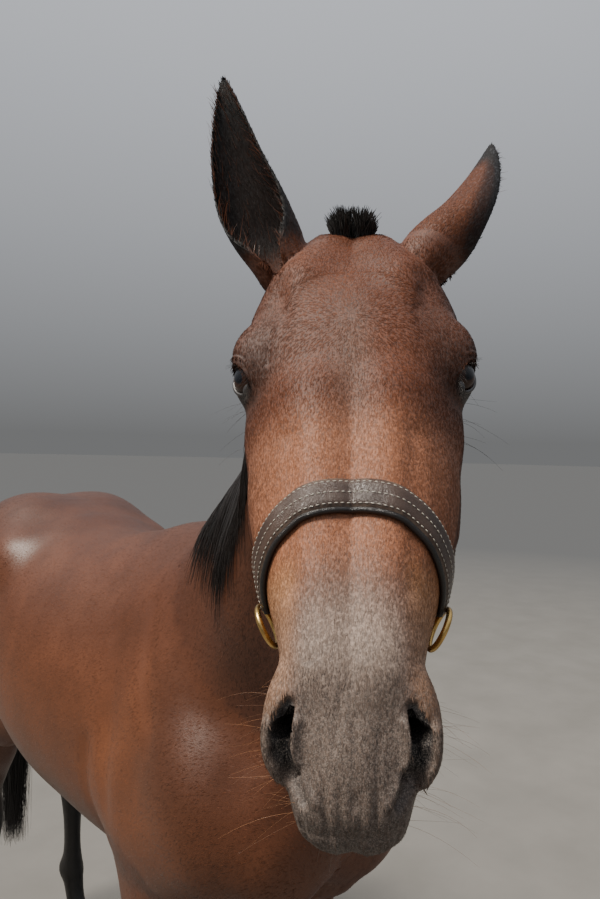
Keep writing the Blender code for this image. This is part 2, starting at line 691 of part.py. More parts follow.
def tube(path, radii, sides=8, flat=1.0, wide=None, closed=False):
    """A closed solid along path. Its section is an ellipse, radii across and flat times that along wide."""
    path = np.array(path, float)
    run = np.roll(path, -1, 0) - np.roll(path, 1, 0) if closed else np.gradient(path, axis=0)
    run /= np.linalg.norm(run, axis=1)[:, None]
    if wide is None:
        wide = np.array((0.31, 0.52, 0.80))
    wide = np.broadcast_to(wide, path.shape)
    second = np.cross(run, wide)
    second /= np.linalg.norm(second, axis=1)[:, None]
    first = np.cross(second, run)
    turn = np.arange(sides) * 2 * math.pi / sides
    points, faces = [], []
    for centre, radius, a, b in zip(path, np.broadcast_to(radii, len(path)), first, second):
        for angle in turn:
            points.append(centre + radius * (a * math.cos(angle) + flat * b * math.sin(angle)))
    rings = len(path)
    for i in range(rings if closed else rings - 1):
        for j in range(sides):
            k, m = (j + 1) % sides, (i + 1) % rings
            faces.append((i * sides + j, m * sides + j, m * sides + k, i * sides + k))
    if not closed:
        faces.append(tuple(range(sides)))
        faces.append(tuple(reversed(range((rings - 1) * sides, rings * sides))))
    return outward(solid(points, faces))


def outward(mesh):
    bm = bmesh.new()
    bm.from_mesh(mesh)
    bmesh.ops.triangulate(bm, faces=bm.faces)
    bmesh.ops.recalc_face_normals(bm, faces=bm.faces)
    if bm.calc_volume(signed=True) < 0:
        bmesh.ops.reverse_faces(bm, faces=bm.faces)
    bm.to_mesh(mesh)
    bm.free()
    return mesh


def in_head(point):
    return np.array((HEAD @ Vector(point))[:])


def along_head(direction):
    return np.array((HEAD.to_3x3() @ Vector(direction))[:])


# Coat forms: the mane, forelock and tail
CREST = [(0.0, -0.44, 1.600), (-0.035, -0.610, 1.675), (-0.078, -0.735, 1.775), (-0.136, -0.835, 1.865),
         (-0.196, -0.940, 1.935)]


def falling(shape, root, lengthways, length, steps, height, lean=(-0.35, 0, 0)):
    """A path that starts sunk at root and hangs down over the body at the given height."""
    at, path = np.array(root, float), []
    step = length / steps
    heading = np.array(lean, float) * 2 + lengthways
    for i in range(steps + 1):
        path.append(at)
        heading = heading * 0.55 + np.array((0, 0, -1.0)) + lengthways * 0.2
        heading /= np.linalg.norm(heading)
        at = at + heading * step
        out = shape.distance(at[None])[0]
        if out < height:
            at = shape.onto(at[None], height, 3)[0]
    return path


def lock(path, half_width, half_thick, wide, sides=4):
    """A flat tapered lock: narrow at its root, widest before the middle, and pointed."""
    share = np.linspace(0, 1, len(path))
    widths = half_width * np.interp(share, (0, 0.30, 0.65, 1), (0.75, 1.0, 0.80, 0.14))
    return tube(path, widths, sides, flat=half_thick / half_width, wide=wide)


MANE_LOCKS = 13
MANE_LENGTHS = (0.060, 0.110, 0.185, 0.200)
MANE_LAYERS = (0.0060, 0.0140)
MANE_ROOT = -0.014
MANE_LOCK = (0.0250, 0.0042)


def mane(shape):
    """Locks along the crest that fall on the right side and overlap, shortest at the withers."""
    rng = np.random.default_rng(7)
    crest = smooth_rows(CREST, 12)
    made = []
    for number in range(MANE_LOCKS):
        share = (number + 0.5 + rng.uniform(-0.2, 0.2)) / MANE_LOCKS
        at = share * (len(crest) - 1)
        low = int(at)
        root = crest[low] + (crest[low + 1] - crest[low]) * (at - low)
        run = crest[low + 1] - crest[low]
        run /= np.linalg.norm(run)
        length = np.interp(share, (0, 0.2, 0.6, 1), MANE_LENGTHS) * rng.uniform(0.9, 1.1)
        start = shape.onto(root[None] + (0, 0, 0.01), MANE_ROOT)[0]
        layer = MANE_LAYERS[number % 2] + rng.uniform(0, 0.001)
        path = np.array(falling(shape, start, run * rng.uniform(-0.30, -0.05), length, 4, layer))
        made.append(lock(path, *MANE_LOCK, run))
    return made


def slab(top, low):
    """A closed sheet between two grids of points."""
    n, m = top.shape[:2]
    points = np.vstack([top.reshape(-1, 3), low.reshape(-1, 3)])
    faces, off = [], n * m
    for i in range(n - 1):
        for j in range(m - 1):
            a, b, c, d = i * m + j, i * m + j + 1, (i + 1) * m + j + 1, (i + 1) * m + j
            faces += [(a, b, c), (a, c, d), (off + c, off + b, off + a), (off + d, off + c, off + a)]
    rim = [(0, j) for j in range(m)] + [(i, m - 1) for i in range(1, n)]
    rim += [(n - 1, j) for j in range(m - 2, -1, -1)] + [(i, 0) for i in range(n - 2, 0, -1)]
    rim = [i * m + j for i, j in rim]
    for a, b in zip(rim, rim[1:] + rim[:1]):
        faces.append((b, a, off + a, off + b))
    return outward(solid(points, faces))


FORELOCK_LOCKS = 5
FORELOCK_LOCK = (0.0082, 0.0032)
FORELOCK_SPREAD = 0.017
FORELOCK_PATH = ((0.004, 0.010), (-0.003, 0.021), (-0.014, 0.031))


def forelock(shape):
    """Short locks between the ears that lie forward on the forehead and spread a little."""
    rng = np.random.default_rng(3)
    made = []
    for number in range(FORELOCK_LOCKS):
        aside = (number / (FORELOCK_LOCKS - 1) - 0.5) * 2
        path = [in_head((rng.uniform(-0.014, 0.010), aside * FORELOCK_SPREAD, -0.020))]
        for ahead, out in FORELOCK_PATH:
            wide = FORELOCK_SPREAD + ahead * 0.18
            path.append(in_head((ahead * rng.uniform(0.85, 1.0), aside * wide, out)))
        made.append(lock(np.array(path), *FORELOCK_LOCK, along_head((0, 1, 0))))
    return made


DOCK = [(0, 0.700, 1.475), (0, 0.780, 1.445), (0, 0.850, 1.370), (0, 0.885, 1.270), (0, 0.900, 1.150),
        (0, 0.905, 1.060)]
DOCK_RADII = (0.040, 0.038, 0.034, 0.030, 0.026, 0.020)
TAIL_TIP = 0.30
TAIL_TIP_Y = 0.905
TAIL_HINDMOST = 0.930
TAIL_LOCKS = 9
TAIL_LOCK = (0.0250, 0.0100)
TAIL_SWELL = ((0, 0.35, 0.75, 1), (0.010, 0.034, 0.028, 0.006))
TURN_PER_LOCK = 2.4


def dock():
    return tube(smooth_rows(DOCK, 2), smooth_rows([[r] for r in DOCK_RADII], 2)[:, 0], 10, wide=(1, 0, 0))


def tail():
    """Long locks rooted round the dock, which hang, overlap and close in to the tail's tip."""
    rng = np.random.default_rng(9)
    line = smooth_rows(DOCK, 8)
    made = []
    for number in range(TAIL_LOCKS):
        share = 0.30 + 0.68 * number / (TAIL_LOCKS - 1)
        root = line[int(share * (len(line) - 1))]
        angle = number * TURN_PER_LOCK
        side, back = math.cos(angle), math.sin(angle) * 0.75
        tip_z = TAIL_TIP + 0.16 * rng.random() * (number % 3 > 0)
        path = []
        for t in np.linspace(0, 1, 6):
            swell = np.interp(t, *TAIL_SWELL)
            bow = 0.044 * math.sin(math.pi * t) * (root[2] - 1.0)
            y = root[1] * (1 - t) + TAIL_TIP_Y * t + back * swell + bow
            path.append((side * swell, min(y, TAIL_HINDMOST), root[2] * (1 - t) + tip_z * t))
        made.append(lock(np.array(path), *TAIL_LOCK, (-math.sin(angle), math.cos(angle), 0)))
    return made


# Ears, eyes, nostrils, mouth and hooves
EAR_LENGTH = 0.232
EAR_BOW = 0.015
EARS = {
    # base, way the tip points, way the cup opens, in the head frame
    "right": ((0.043, -0.079, -0.022), (-0.190, -0.074, 0.130), (0.55, -0.25, 0.80)),
    "left": ((0.043, 0.079, -0.022), (-0.187, 0.090, 0.001), (-0.38, 0.73, -0.57)),
}


def ear(base, tip, opens):
    """A leaf-shaped cup, open towards one side, drawn in along its length to a point, and bowed outward."""
    base, axis, front, away = in_head(base), along_head(tip), along_head(opens), along_head((0, base[1], 0))
    axis /= np.linalg.norm(axis)
    front -= axis * (front @ axis)
    front /= np.linalg.norm(front)
    side = np.cross(axis, front)
    away -= axis * (away @ axis)
    away *= EAR_BOW / np.linalg.norm(away)
    rows = [
        # height, half width, depth of cup, half angle of the shell, thickness
        (-0.044, 0.016, 0.016, 172, 0.0090),
        (-0.014, 0.031, 0.030, 170, 0.0090),
        (0.018, 0.037, 0.035, 152, 0.0078),
        (0.050, 0.041, 0.034, 120, 0.0060),
        (0.088, 0.041, 0.028, 100, 0.0050),
        (0.130, 0.034, 0.022, 92, 0.0046),
        (0.168, 0.0255, 0.015, 88, 0.0042),
        (0.204, 0.015, 0.008, 86, 0.0038),
        (EAR_LENGTH, 0.004, 0.003, 84, 0.0032),
    ]
    count, outer, inner = 9, [], []
    for up, wide, deep, open_to, thick in rows:
        share = max(up, 0) / EAR_LENGTH
        centre = base + axis * up - front * 0.006 * share**2 + away * math.sin(math.pi * share)
        angles = np.radians(np.linspace(-open_to, open_to, count))
        back = -front[None] * np.cos(angles)[:, None]
        across = side[None] * np.sin(angles)[:, None]
        outer.append(centre + back * deep + across * wide)
        inner.append(centre + back * (deep - thick) + across * (wide - thick))
    return slab(np.array(outer), np.array(inner))


LIDS_APART = (0.0192, 0.0152, 0.0160)
LIDS_OUT = 0.024


def eye_ball(sign):
    return in_head((EYE_AT.x, sign * EYE_AT.y, EYE_AT.z))


def eye_frame(sign):
    """World axes of an eye: along its lids, across them, outward."""
    return np.array([along_head((v.x, sign * v.y, v.z)) for v in eye_axes()]).T


def socket(sign):
    """What is cut from the head for an eye: the ball with its gap and the almond between the lids."""
    ball = bead(eye_ball(sign), (EYE_RADIUS + GAP,) * 3, finer=3)
    axes = eye_frame(sign)
    return [ball, bead(eye_ball(sign) + axes[:, 2] * LIDS_OUT, LIDS_APART, axes)]


NOSTRIL = [(0.531, 0.0450, -0.008), (0.547, 0.0515, -0.013), (0.566, 0.0505, -0.024), (0.585, 0.0385, -0.038)]
NOSTRIL_RADII = (0.0045, 0.0085, 0.0090, 0.0055)
NOSE_WAY = [(0.555, 0.051, -0.018), (0.526, 0.030, -0.040)]
NOSE_WAY_RADII = (0.0100, 0.0080)
MOUTH = [(0.612, 0.0, -0.0945), (0.597, 0.028, -0.0950), (0.560, 0.0440, -0.0965), (0.515, 0.0520, -0.0985)]


def nostril(sign):
    path = [in_head((s, sign * y, z)) for s, y, z in NOSTRIL]
    inward = [in_head((s, sign * y, z)) for s, y, z in NOSE_WAY]
    return [tube(path, NOSTRIL_RADII, 8), tube(inward, NOSE_WAY_RADII, 8)]


def mouth_line():
    """A thin wedge sunk between the lips, from one corner of the mouth to the other."""
    half = smooth_rows(MOUTH, 2)
    path = np.vstack([half[::-1] * (1, -1, 1), half[1:]])
    outer = np.array([[in_head(p + (0.012, 0, 0.0022)), in_head(p + (0.012, 0, -0.0022))] for p in path])
    inner = np.array([[in_head(p * (1, 0.78, 1) - (0.012, 0, 0))] * 2 for p in path])
    return outward(wedge(outer, inner[:, 0]))


def wedge(outer, inner):
    """A closed strip with a triangular section: two outer edges and one inner edge."""
    n = len(outer)
    points = np.vstack([outer[:, 0], outer[:, 1], inner])
    faces = [(0, n, 2 * n), (n - 1, 3 * n - 1, 2 * n - 1)]
    for i in range(n - 1):
        for a, b in ((0, 1), (1, 2), (2, 0)):
            faces.append((a * n + i, a * n + i + 1, b * n + i + 1, b * n + i))
    return solid(points, faces)


HOOF_TOP = 0.0770
HOOF_SOLE = (0.0600, 0.0660)
HOOF_CROWN = (0.0470, 0.0475)


def hoof(x, y, sides=20):
    """A blunt cone on a flat sole; y is the middle of its top, and the sole lies ahead of it."""
    levels = [(0.0, HOOF_SOLE, -0.030), (0.012, (0.0590, 0.0650), -0.026), (HOOF_TOP, HOOF_CROWN, 0.0)]
    points, faces = [], []
    for z, (wide, deep), shift in levels:
        for angle in np.arange(sides) * 2 * math.pi / sides:
            points.append((x + wide * math.cos(angle), y + shift + deep * math.sin(angle), z))
    for i in range(len(levels) - 1):
        for j in range(sides):
            k = (j + 1) % sides
            faces.append((i * sides + j, i * sides + k, (i + 1) * sides + k, (i + 1) * sides + j))
    faces += [tuple(reversed(range(sides))), tuple(range(2 * sides, 3 * sides))]
    return outward(solid(points, faces))


# The halter
STRAP_LIFT = 0.0012
NOSE_WIDE = 0.028
STRAP_WIDE = 0.022
STRAP_THICK = 0.0045
RING_AT = {"left": (0.447, 0.0800, -0.084), "right": (0.447, -0.0800, -0.084)}
RING_SIZE = (0.0185, 0.0028)
LEAD_RING_AT = (0.455, 0, -0.19)
LEAD_RING_SIZE = (0.0190, 0.0030)


def strap(shape, guides, wide, thick, per_span=5, lift=STRAP_LIFT):
    """A flat strap laid on the shape along a smooth line through guides, given in the world."""
    path = shape.onto(smooth_rows(guides, per_span), lift, 6)
    out = shape.slope(path, 0.006)
    run = np.gradient(path, axis=0)
    run /= np.linalg.norm(run, axis=1)[:, None]
    across = np.cross(run, out)
    across /= np.linalg.norm(across, axis=1)[:, None]
    low = np.array([path - across * wide / 2, path, path + across * wide / 2])
    low = np.array([shape.onto(row, lift, 4) for row in low])
    top = low + out[None] * thick
    return slab(top.transpose(1, 0, 2), low.transpose(1, 0, 2))


def head_guides(points):
    return [in_head(p) for p in points]


def ring(centre, normal, radius, bar, sides=6, steps=20):
    first = np.cross(normal, (0.2, 0.3, 0.93))
    first /= np.linalg.norm(first)
    second = np.cross(normal, first)
    second /= np.linalg.norm(second)
    turn = np.arange(steps) * 2 * math.pi / steps
    path = [np.array(centre) + radius * (first * math.cos(a) + second * math.sin(a)) for a in turn]
    return tube(path, bar, sides, wide=np.array(normal, float) / np.linalg.norm(normal), closed=True)


# Nodes and their materials
COLOURS = {
    "bay_coat": ((0.150, 0.052, 0.022), 0.42, 0.0),
    "black_hair": ((0.012, 0.010, 0.009), 0.45, 0.0),
    "ear_coat": ((0.110, 0.040, 0.020), 0.50, 0.0),
    "eye": ((0.012, 0.007, 0.004), 0.06, 0.0),
    "hoof_horn": ((0.045, 0.036, 0.030), 0.45, 0.0),
    "brown_leather": ((0.030, 0.016, 0.011), 0.50, 0.0),
    "brass": ((0.560, 0.370, 0.140), 0.28, 1.0),
}


def material(name):
    if name in bpy.data.materials:
        return bpy.data.materials[name]
    colour, rough, metal = COLOURS[name]
    made = bpy.data.materials.new(name)
    made.use_nodes = True
    shader = made.node_tree.nodes["Principled BSDF"]
    shader.inputs["Base Color"].default_value = (*colour, 1)
    shader.inputs["Roughness"].default_value = rough
    shader.inputs["Metallic"].default_value = metal
    return made


def node(name, mesh, colour):
    mesh.name = name
    mesh.materials.clear()
    mesh.materials.append(material(colour))
    mesh.shade_smooth()
    mesh.set_sharp_from_angle(angle=math.radians(50))
    return new_object(name, mesh)


LEG_CUT = 0.825
NAPE_CUT = (Vector((-0.186, -0.932, 1.755)), Vector((0.45, 0.80, -0.25)), 0.245)
NECK_CUT = (Vector((0, -0.6725, 1.385)), Vector((0, 0.7716, -0.6361)), 0.420)
FACES = {"head": 2700, "neck": 900, "torso": 1800, "foreleg": 440, "hindleg": 500}
FLESH_VOXEL = 0.013
FIRST_THINNING = 0.32


def cuts():
    """Where thin discs part the head, neck, torso and legs: centre, normal, radius."""
    made = [NAPE_CUT, NECK_CUT]
    for side in (-0.19, 0.19):
        for y in (FORE_Y, HIND_Y - 0.11):
            made.append((Vector((side, y, LEG_CUT)), Vector((0, 0, 1)), 0.185))
    return made


def on_a_cut(points):
    """Which points lie on the faces that the discs leave."""
    found = np.zeros(len(points), bool)
    for centre, normal, radius in cuts():
        off = points - np.array(centre)
        level = np.abs(off @ np.array(normal.normalized()))
        found |= (level < 2 * GAP) & (np.linalg.norm(off, axis=1) < radius)
    return found


def flesh(shape):
    """The body parted into named nodes."""
    whole = fitted(remeshed(filled(shape.added), FLESH_VOXEL), shape)
    whole = thinned(whole, FIRST_THINNING)
    pieces = islands(combined(whole, [disc(*cut) for cut in cuts()], "DIFFERENCE"))
    marks = {
        "head": in_head((0.60, 0, -0.02)),
        "neck": np.array((-0.10, -0.80, 1.85)),
        "torso": np.array((0, 0.02, 1.53)),
        "foreleg_left": np.array((STANCE_FORE, FORE_Y, 0.46)),
        "foreleg_right": np.array((-STANCE_FORE, FORE_Y, 0.46)),
        "hindleg_left": np.array((STANCE_HIND, HIND_Y, 0.50)),
        "hindleg_right": np.array((-STANCE_HIND, HIND_Y, 0.50)),
    }
    found = {}
    for name, mark in marks.items():
        gaps = [np.linalg.norm(points_of(p) - mark, axis=1).min() for p in pieces]
        piece = pieces[int(np.argmin(gaps))]
        keep = FACES[name.split("_")[0]] / len(piece.polygons)
        found[name] = largest(thinned(piece, min(1.0, keep), on_a_cut(points_of(piece))))
    return found


def horizontal_cut(mesh, level):
    """The mesh above the level, closed with a flat face."""
    bm = bmesh.new()
    bm.from_mesh(mesh)
    parts = bm.verts[:] + bm.edges[:] + bm.faces[:]
    bmesh.ops.bisect_plane(bm, geom=parts, plane_co=(0, 0, level), plane_no=(0, 0, 1), clear_inner=True)
    rim = [e for e in bm.edges if e.is_boundary]
    bmesh.ops.holes_fill(bm, edges=rim, sides=0)
    bmesh.ops.triangulate(bm, faces=bm.faces)
    bmesh.ops.recalc_face_normals(bm, faces=bm.faces)
    bm.to_mesh(mesh)
    bm.free()
    return mesh


def build():
    for old in list(bpy.data.objects):
        bpy.data.objects.remove(old)
    shape = whole_horse()
    parts = flesh(shape)

    head = parts["head"]
    holes = [m for sign in (1, -1) for m in socket(sign) + nostril(sign)]
    head = largest(combined(head, holes + [mouth_line()], "DIFFERENCE"))
    head = largest(combined(head, forelock(shape), "UNION"))
    neck = largest(combined(parts["neck"], mane(shape), "UNION"))
    torso = parts["torso"]
    over_head, over_neck, over_torso = (swollen(m, 0.0005) for m in (head, neck, torso))
    neck = largest(combined(neck, [over_head.copy(), over_torso.copy()], "DIFFERENCE"))

    for name, sign in (("left", 1), ("right", -1)):
        base, tip, opens = EARS[name]
        outside_head = combined(ear(base, tip, opens), [over_head.copy()], "DIFFERENCE")
        node(f"ear_{name}", largest(outside_head), "ear_coat")
        node(f"eye_{name}", bead(eye_ball(sign), (EYE_RADIUS,) * 3, finer=3), "eye")
    node("head", head, "bay_coat")
    node("neck", neck, "bay_coat")
    node("torso", torso, "bay_coat")

    whole_tail = largest(combined(dock(), tail(), "UNION"))
    node("tail", largest(combined(whole_tail, [over_torso.copy()], "DIFFERENCE")), "black_hair")

    for name, sign in SIDES:
        leg = horizontal_cut(parts[f"foreleg_{name}"], HOOF_TOP + GAP)
        node(f"foreleg_{name}", leg, "bay_coat")
        node(f"hoof_fore_{name}", hoof(sign * STANCE_FORE, FORE_Y - FORE_AHEAD[name] - 0.060), "hoof_horn")
        leg = horizontal_cut(parts[f"hindleg_{name}"], HOOF_TOP + GAP)
        node(f"hindleg_{name}", leg, "bay_coat")
        node(f"hoof_hind_{name}", hoof(sign * STANCE_HIND, HIND_Y + HIND_BACK[name] - 0.064), "hoof_horn")
    halter(shape, [over_head, over_neck])

    low, high = whole_box()
    middle = Vector(((low.x + high.x) / 2, (low.y + high.y) / 2, 0))
    for made in bpy.data.objects:
        made.data.transform(Matrix.Translation(-middle))


def whole_box():
    corners = np.array([made.matrix_world @ Vector(c) for made in bpy.data.objects for c in made.bound_box])
    return Vector(corners.min(axis=0)), Vector(corners.max(axis=0))


def halter(shape, flesh_over):
    """Noseband, chin strap, cheek straps, crown strap and three rings."""
    fittings = []
    for name, at in RING_AT.items():
        centre = shape.onto(in_head(at)[None], 0.0060)[0]
        fittings.append((f"halter_ring_{name}", ring(centre, shape.slope(centre[None])[0], *RING_SIZE)))
    chin = shape.onto(in_head(LEAD_RING_AT)[None], 0.026)[0]
    fittings.append(("halter_lead_ring", ring(chin, along_head((1, 0, 0)), *LEAD_RING_SIZE)))
    keep_clear = [swollen(mesh, GAP) for _, mesh in fittings] + flesh_over
    for name, mesh in fittings:
        node(name, mesh, "brass")

    runs = {
        "halter_noseband": (NOSE_WIDE, [
            (0.428, -0.083, -0.078), (0.405, -0.080, -0.045), (0.378, -0.055, -0.006), (0.363, 0.0, 0.006),
            (0.378, 0.055, -0.006), (0.405, 0.080, -0.045), (0.428, 0.083, -0.078)]),
        "halter_chin_strap": (STRAP_WIDE, [
            (0.465, -0.070, -0.100), (0.462, -0.052, -0.140), (0.458, -0.020, -0.160), (0.455, 0.0, -0.165),
            (0.458, 0.020, -0.160), (0.462, 0.052, -0.140), (0.465, 0.070, -0.100)]),
        "halter_cheek_left": (STRAP_WIDE, [
            (0.432, 0.076, -0.095), (0.360, 0.090, -0.110), (0.270, 0.100, -0.130), (0.160, 0.105, -0.140),
            (0.095, 0.095, -0.110)]),
        "halter_cheek_right": (STRAP_WIDE, [
            (0.432, -0.076, -0.095), (0.360, -0.090, -0.110), (0.270, -0.100, -0.130), (0.160, -0.105, -0.140),
            (0.095, -0.095, -0.110)]),
        "halter_crown": (STRAP_WIDE, [
            (0.086, -0.092, -0.105), (0.030, -0.085, -0.085), (-0.028, -0.060, -0.045), (-0.045, 0.0, -0.010),
            (-0.028, 0.060, -0.045), (0.030, 0.085, -0.085), (0.086, 0.092, -0.105)]),
    }
    for name, (wide, guides) in runs.items():
        band = strap(shape, head_guides(guides), wide, STRAP_THICK)
        band = largest(combined(band, [m.copy() for m in keep_clear], "DIFFERENCE"))
        keep_clear.append(swollen(band, GAP))
        node(name, band, "brown_leather")


if __name__ == "__main__":
    build()
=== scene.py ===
# The looks of a standing bay riding horse in a leather halter. Metres, +Z up, the horse faces -Y.
import json
import math

import bmesh
import bpy
import numpy as np
from mathutils import Matrix, Quaternion, Vector

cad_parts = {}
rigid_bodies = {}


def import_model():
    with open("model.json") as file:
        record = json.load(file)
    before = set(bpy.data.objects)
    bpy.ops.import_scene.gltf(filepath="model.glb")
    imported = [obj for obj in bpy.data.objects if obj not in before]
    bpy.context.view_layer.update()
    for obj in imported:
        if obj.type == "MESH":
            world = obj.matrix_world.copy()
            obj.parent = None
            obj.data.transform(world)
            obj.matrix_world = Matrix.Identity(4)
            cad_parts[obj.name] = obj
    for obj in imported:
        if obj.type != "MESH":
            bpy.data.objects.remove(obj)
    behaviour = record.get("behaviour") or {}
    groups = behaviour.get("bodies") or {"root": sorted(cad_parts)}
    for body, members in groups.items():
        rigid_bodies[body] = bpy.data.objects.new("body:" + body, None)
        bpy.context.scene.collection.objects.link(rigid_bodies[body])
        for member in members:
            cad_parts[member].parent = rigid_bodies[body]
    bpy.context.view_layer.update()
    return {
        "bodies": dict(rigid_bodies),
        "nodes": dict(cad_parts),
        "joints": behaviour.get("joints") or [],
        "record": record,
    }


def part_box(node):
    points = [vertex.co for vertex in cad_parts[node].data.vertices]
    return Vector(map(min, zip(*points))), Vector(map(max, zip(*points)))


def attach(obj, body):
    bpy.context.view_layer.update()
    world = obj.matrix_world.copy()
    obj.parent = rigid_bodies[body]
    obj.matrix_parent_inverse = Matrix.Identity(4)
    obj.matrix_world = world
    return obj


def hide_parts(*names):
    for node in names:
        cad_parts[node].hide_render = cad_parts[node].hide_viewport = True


# Driving sizes of the body
WITHERS = 1.60
GIRTH = 0.86
FORE_Y = -0.50
HIND_Y = 0.72
STANCE_FORE = 0.145
STANCE_HIND = 0.150
GAP = 0.0003

# The head: its poll, the way it faces, and how far the face leans from the vertical
POLL = Vector((-0.2745, -1.088, 2.012))
HEAD_TURN = math.radians(46.4)
FACE_LEAN = math.radians(34.1)
HEAD_TILT = math.radians(2.0)
EYE_RADIUS = 0.0225
EYE_AT = Vector((0.201, 0.0980, -0.042))
EYE_LOOKS = Vector((0.20, 0.72, 0.62))


def head_matrix():
    """Head frame: x runs down the face from the poll, y to the horse's left, z out of the forehead."""
    ahead = Vector((-math.sin(HEAD_TURN), -math.cos(HEAD_TURN), 0))
    left = Vector((math.cos(HEAD_TURN), -math.sin(HEAD_TURN), 0))
    up = Vector((0, 0, 1))
    down_face = ahead * math.sin(FACE_LEAN) - up * math.cos(FACE_LEAN)
    out_face = ahead * math.cos(FACE_LEAN) + up * math.sin(FACE_LEAN)
    tilted = down_face * math.cos(HEAD_TILT) + left * math.sin(HEAD_TILT)
    left = left * math.cos(HEAD_TILT) - down_face * math.sin(HEAD_TILT)
    return Matrix((tilted, left, out_face)).transposed().to_4x4()


HEAD = Matrix.Translation(POLL) @ head_matrix()
BODY = Matrix.Identity(4)


# Forms: each is a rounded shape that says how far a point lies from its surface
def smooth_rows(rows, per_span):
    """Rows of numbers joined by a smooth curve, with per_span steps between each two."""
    rows = np.array(rows, float)
    ahead = np.vstack([rows[0] * 2 - rows[1], rows, rows[-1] * 2 - rows[-2]])
    made = []
    for i in range(len(rows) - 1):
        a, b, c, d = ahead[i : i + 4]
        for t in np.arange(per_span) / per_span:
            made.append(
                0.5 * (2 * b + (c - a) * t + (2 * a - 5 * b + 4 * c - d) * t**2 + (3 * b - a - 3 * c + d) * t**3)
            )
    return np.array(made + [rows[-1]])


class Form:
    """A shape in its own frame. A paired one has a twin across the frame's middle plane."""

    def __init__(self, frame, blend, paired, side):
        self.place = np.array(frame, float)
        self.back = np.linalg.inv(self.place)
        self.blend, self.paired, self.side = blend, paired, side

    def local(self, points):
        at = points @ self.back[:3, :3].T + self.back[:3, 3]
        if self.paired:
            at[:, self.side] = np.abs(at[:, self.side])
        return at

    def outline(self):
        """Closed meshes, in the world, that this form fills."""
        points, faces = self.shell()
        for sign in (1, -1) if self.paired else (1,):
            at = points.copy()
            at[:, self.side] *= sign
            at = at @ self.place[:3, :3].T + self.place[:3, 3]
            yield at, [tuple(reversed(f)) for f in faces] if sign < 0 else faces


def ball_shell(centre, radii, axes):
    bm = bmesh.new()
    bmesh.ops.create_icosphere(bm, subdivisions=3, radius=1)
    points = np.array([v.co for v in bm.verts]) * radii
    faces = [tuple(v.index for v in f.verts) for f in bm.faces]
    bm.free()
    return points @ axes.T + centre, faces


class Ball(Form):
    """An ellipsoid. lie holds its turns about x, y and z in degrees."""

    def __init__(self, centre, radii, blend=0.03, lie=(0, 0, 0), frame=BODY, paired=False, side=0):
        super().__init__(frame, blend, paired, side)
        self.centre, self.radii = np.array(centre, float), np.array(radii, float)
        turns = [Matrix.Rotation(math.radians(a), 3, n) for a, n in zip(lie, "XYZ")]
        self.axes = np.array(turns[2] @ turns[1] @ turns[0])
        reach = np.sqrt((self.axes**2) @ self.radii**2)
        self.low, self.high = self.centre - reach, self.centre + reach

    def distance(self, at):
        q = (at - self.centre) @ self.axes
        k0 = np.linalg.norm(q / self.radii, axis=1)
        k1 = np.linalg.norm(q / self.radii**2, axis=1)
        return np.where(k1 > 1e-9, k0 * (k0 - 1) / np.maximum(k1, 1e-9), -self.radii.min())

    def shell(self):
        return ball_shell(self.centre, self.radii, self.axes)


class Rod(Form):
    """A straight round bar from one ball to another, of two radii."""

    def __init__(self, start, end, r0, r1, blend=0.03, frame=BODY, paired=False, side=0):
        super().__init__(frame, blend, paired, side)
        self.start, self.end = np.array(start, float), np.array(end, float)
        self.r0, self.r1 = r0, r1
        self.low = np.minimum(self.start - r0, self.end - r1)
        self.high = np.maximum(self.start + r0, self.end + r1)

    def distance(self, at):
        run = self.end - self.start
        t = np.clip((at - self.start) @ run / (run @ run), 0, 1)
        gap = np.linalg.norm(at - self.start - t[:, None] * run, axis=1)
        return gap - (self.r0 + (self.r1 - self.r0) * t)

    def shell(self):
        bm = bmesh.new()
        for centre, radius in ((self.start, self.r0), (self.end, self.r1)):
            place = Matrix.Translation(Vector(centre))
            bmesh.ops.create_icosphere(bm, subdivisions=2, radius=radius, matrix=place)
        hull = bmesh.ops.convex_hull(bm, input=list(bm.verts))
        bmesh.ops.delete(bm, geom=hull["geom_interior"], context="VERTS")
        bm.verts.index_update()
        points = np.array([v.co for v in bm.verts])
        faces = [tuple(v.index for v in f.verts) for f in bm.faces]
        bm.free()
        return points, faces


